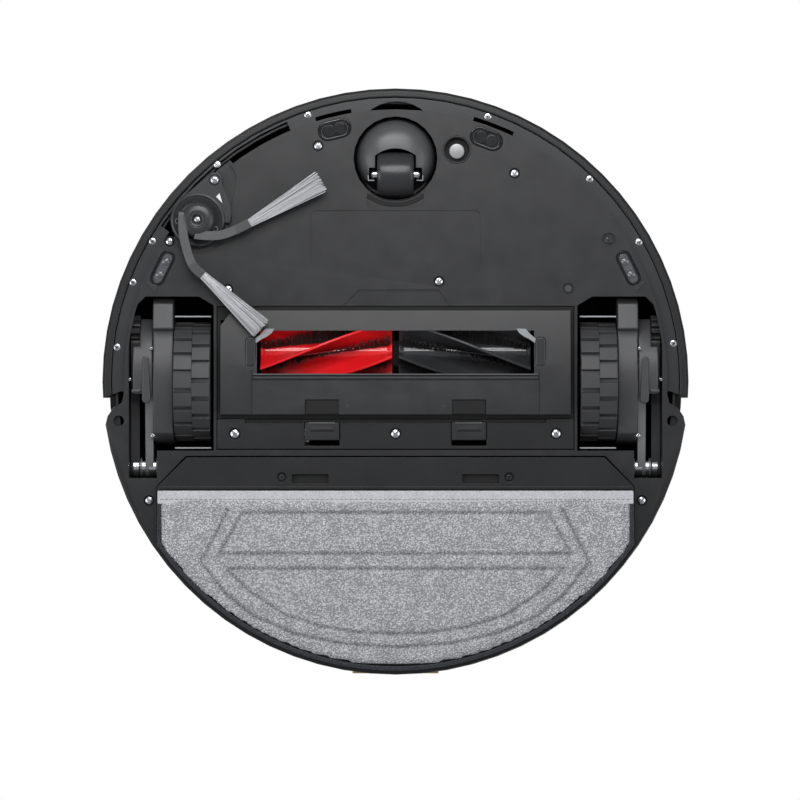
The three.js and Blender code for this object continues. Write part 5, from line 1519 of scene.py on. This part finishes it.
class ROBOT_OT_top(bpy.types.Operator):
    """Top lid with its finger notch, range-finder turret and the two buttons"""

    bl_idname = "robot.top"
    bl_label = "Top"

    def execute(self, context):
        self.lid()
        self.turret()
        self.buttons()
        self.light_traps()
        return {"FINISHED"}

    def lid(self):
        """The lid with its rounded rim and its notch, and a lip in the notch."""
        low, high = corners("top_lid")
        notch = prism(box_outline(-16, 16, high.y - 4.6, high.y + 2, 2.2), high.z - 1.3, high.z + 1)
        lid = rim_rounded(cut(copy_of("top_lid"), [notch]), -low.y, high.z, 1.4, 4)
        lip = block(-14, 14, high.y - 3.2, high.y - 2.2, high.z - 1.35, high.z - 0.9, 0.2)
        Piece("lid").add(eased(lid, 0.35), "lid_gloss").add(lip, "arm_plastic").done("lid", "top_lid")

    def turret(self):
        """A spool with a dark window band under a capped top."""
        low, high = corners("lidar_turret")
        x, y = middle_of(low, high)
        r = (high.x - low.x) / 2
        top = high.z
        cap = turned([
            (0, top - 0.3), (r * 0.52, top - 0.3), (r * 0.54, top - 0.75), (r * 0.57, top - 0.75),
            (r * 0.59, top - 0.25), (r * 0.93, top), (r - 0.5, top - 0.35), (r, top - 1.2),
            (r, top - 3.0), (0, top - 3.0),
        ], steps=120)
        window = turned([
            (0, top - 2.9), (r - 2.4, top - 2.9), (r - 2.4, low.z + 3.6), (0, low.z + 3.6),
        ], steps=96)
        foot = turned([
            (0, low.z), (r, low.z), (r, low.z + 3.2), (r - 0.6, low.z + 3.7), (0, low.z + 3.7),
        ], steps=96)
        turret = Piece("turret")
        turret.add(moved(cap, x, y), "satin_black").add(moved(window, x, y), "lens_black")
        turret.add(moved(foot, x, y), "satin_black")
        posts = [
            moved(block(r - 3.4, r - 0.8, -1.6, 1.6, low.z + 3, top - 2.4, 0.4), turn=60 * i)
            for i in range(6)
        ]
        for post in posts:
            turret.add(moved(post, x, y), "satin_black")
        turret.done("lidar", "lidar_turret")

    def light_traps(self):
        """Dark floors below the turret and the buttons, which stop daylight showing through."""
        low, high = corners("lidar_turret")
        traps = [moved(peg(high.x + 3, 37.4, 38.4), 0, (low.y + high.y) / 2)]
        for label in ("power", "home"):
            low, high = corners(f"{label}_button")
            place = (low + high) / 2
            traps.append(moved(peg(high.x - place.x + 2, low.z - 4, low.z - 3.4), place.x, place.y))
        Piece("inner_floors").add(joined(traps), "shadow").done("chassis")

    def buttons(self):
        """Each button's dished cap with its pale ring."""
        for label in ("power", "home"):
            low, high = corners(f"{label}_button")
            x, y = middle_of(low, high)
            r = (high.x - low.x) / 2
            cap = turned([
                (0, high.z - 0.35), (r * 0.55, high.z - 0.2), (r - 0.5, high.z), (r, high.z - 0.4),
                (r, low.z), (0, low.z),
            ], steps=56)
            glow = turned([
                (r * 0.30, high.z - 0.1), (r * 0.42, high.z - 0.1),
                (r * 0.42, high.z - 0.5), (r * 0.30, high.z - 0.5),
            ], steps=48, ring=True)
            button = Piece(f"{label}_cap")
            button.add(moved(cap, x, y), "arm_plastic").add(moved(glow, x, y), "pale_mark")
            button.done(f"{label}_button", f"{label}_button")


# ---- Stage ------------------------------------------------------------------------------------

def lamp(name, place, target, width, depth, power):
    """A soft rectangular lamp at a place, facing a target, in metres."""
    light = bpy.data.lights.new(name, "AREA")
    light.shape = "RECTANGLE"
    light.size, light.size_y, light.energy = width, depth, power
    thing = bpy.data.objects.new(name, light)
    thing.location = place
    thing.rotation_euler = (Vector(target) - Vector(place)).to_track_quat("-Z", "Y").to_euler()
    thing.visible_camera = False
    bpy.context.scene.collection.objects.link(thing)
    return thing


class ROBOT_OT_stage(bpy.types.Operator):
    """Pale floor, soft lamps, plain backdrop and the camera under the robot"""

    bl_idname = "robot.stage"
    bl_label = "Stage"

    def execute(self, context):
        self.floor()
        self.backdrop(context.scene)
        lamp("key_below", (0.0, -0.46, -1.00), (0.0, -0.07, 0.0), 0.62, 0.20, 3.0)
        lamp("front_below", (-0.02, -0.36, -0.34), (0.0, -0.14, 0.01), 0.36, 0.10, 0.9)
        lamp("left_below", (-1.10, 0.10, -0.90), (0.0, 0.0, 0.0), 0.8, 0.8, 6.0)
        lamp("right_below", (1.10, 0.00, -0.90), (0.0, 0.0, 0.0), 0.8, 0.8, 4.0)
        lamp("key_above", (-0.9, -1.0, 1.5), (0.0, 0.0, 0.04), 1.0, 1.0, 22.0)
        lamp("rim_above", (0.9, 1.1, 1.2), (0.0, 0.0, 0.04), 1.2, 0.6, 14.0)
        camera = bpy.data.cameras.new("camera")
        camera.lens, camera.sensor_width = 200.0, 36.0
        viewer = bpy.data.objects.new("camera", camera)
        viewer.location = (0.0027, 0.0111, -2.653)
        viewer.rotation_euler = (math.pi, 0.0, 0.0)
        context.scene.collection.objects.link(viewer)
        context.scene.camera = viewer
        context.scene.view_settings.view_transform = "Standard"
        return {"FINISHED"}

    def floor(self):
        """A pale floor that is seen only from above."""
        sheet = bmesh.new()
        bmesh.ops.create_grid(sheet, x_segments=2, y_segments=2, size=6.0)
        floor = shown("floor", sheet)
        material = bpy.data.materials.new("pale_floor")
        material.use_nodes = True
        tree = material.node_tree
        shader, output = tree.nodes["Principled BSDF"], tree.nodes["Material Output"]
        shader.inputs["Roughness"].default_value = 0.85
        place = tree.nodes.new("ShaderNodeTexCoord").outputs["Object"]
        mottle = node(tree, "ShaderNodeTexNoise", {"Vector": place, "Scale": 3.0, "Detail": 4.0})
        tone = node(tree, "ShaderNodeMix", {
            0: mottle.outputs[0], 6: (0.80, 0.80, 0.80, 1), 7: (0.84, 0.84, 0.84, 1),
        }, data_type="RGBA")
        tree.links.new(tone.outputs[2], shader.inputs["Base Color"])
        clear = tree.nodes.new("ShaderNodeBsdfTransparent")
        facing = tree.nodes.new("ShaderNodeNewGeometry")
        mix = node(tree, "ShaderNodeMixShader", {
            0: facing.outputs["Backfacing"], 1: shader.outputs[0], 2: clear.outputs[0],
        })
        tree.links.new(mix.outputs[0], output.inputs["Surface"])
        floor.data.materials.append(material)
        floor.visible_shadow = floor.visible_diffuse = floor.visible_glossy = False

    def backdrop(self, scene):
        """White to the camera, soft grey as light."""
        world = bpy.data.worlds.new("backdrop")
        scene.world = world
        world.use_nodes = True
        tree = world.node_tree
        light = tree.nodes["Background"]
        light.inputs["Color"].default_value = (0.72, 0.74, 0.78, 1)
        light.inputs["Strength"].default_value = 0.38
        white = node(tree, "ShaderNodeBackground", {"Color": (1, 1, 1, 1), "Strength": 1.0})
        rays = tree.nodes.new("ShaderNodeLightPath")
        mix = node(tree, "ShaderNodeMixShader", {
            0: rays.outputs["Is Camera Ray"], 1: light.outputs[0], 2: white.outputs[0],
        })
        tree.links.new(mix.outputs[0], tree.nodes["World Output"].inputs["Surface"])


# ---- Finishes, panel and main -----------------------------------------------------------------

class ROBOT_OT_finishes(bpy.types.Operator):
    """The materials and their shared node groups"""

    bl_idname = "robot.finishes"
    bl_label = "Finishes"

    def execute(self, context):
        make_finishes()
        return {"FINISHED"}


PIECE_OPERATORS = [
    ROBOT_OT_finishes, ROBOT_OT_base, ROBOT_OT_sensors, ROBOT_OT_bumper, ROBOT_OT_body,
    ROBOT_OT_wheels, ROBOT_OT_caster, ROBOT_OT_side_brush, ROBOT_OT_rollers, ROBOT_OT_cover,
    ROBOT_OT_mop, ROBOT_OT_top, ROBOT_OT_stage,
]


class ROBOT_PT_panel(bpy.types.Panel):
    """Lists the robot's sizes, colours and pieces"""

    bl_idname = "ROBOT_PT_panel"
    bl_label = "Robot vacuum and mop"
    bl_space_type = "VIEW_3D"
    bl_region_type = "UI"
    bl_category = "Robot"

    def draw(self, context):
        for group in (context.scene.robot_sizes, context.scene.robot_colours):
            for name in group.__annotations__:
                self.layout.prop(group, name)
        for operator in PIECE_OPERATORS:
            self.layout.operator(operator.bl_idname)


CLASSES = [RobotSizes, RobotColours, *PIECE_OPERATORS, ROBOT_PT_panel]


def register():
    for item in CLASSES:
        bpy.utils.register_class(item)
    bpy.types.Scene.robot_sizes = bpy.props.PointerProperty(type=RobotSizes)
    bpy.types.Scene.robot_colours = bpy.props.PointerProperty(type=RobotColours)


def unregister():
    del bpy.types.Scene.robot_colours
    del bpy.types.Scene.robot_sizes
    for item in reversed(CLASSES):
        bpy.utils.unregister_class(item)


def main():
    """Builds the whole scene."""
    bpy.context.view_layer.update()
    register()
    for operator in PIECE_OPERATORS:
        family, name = operator.bl_idname.split(".")
        getattr(getattr(bpy.ops, family), name)()


if __name__ == "__main__":
    main()
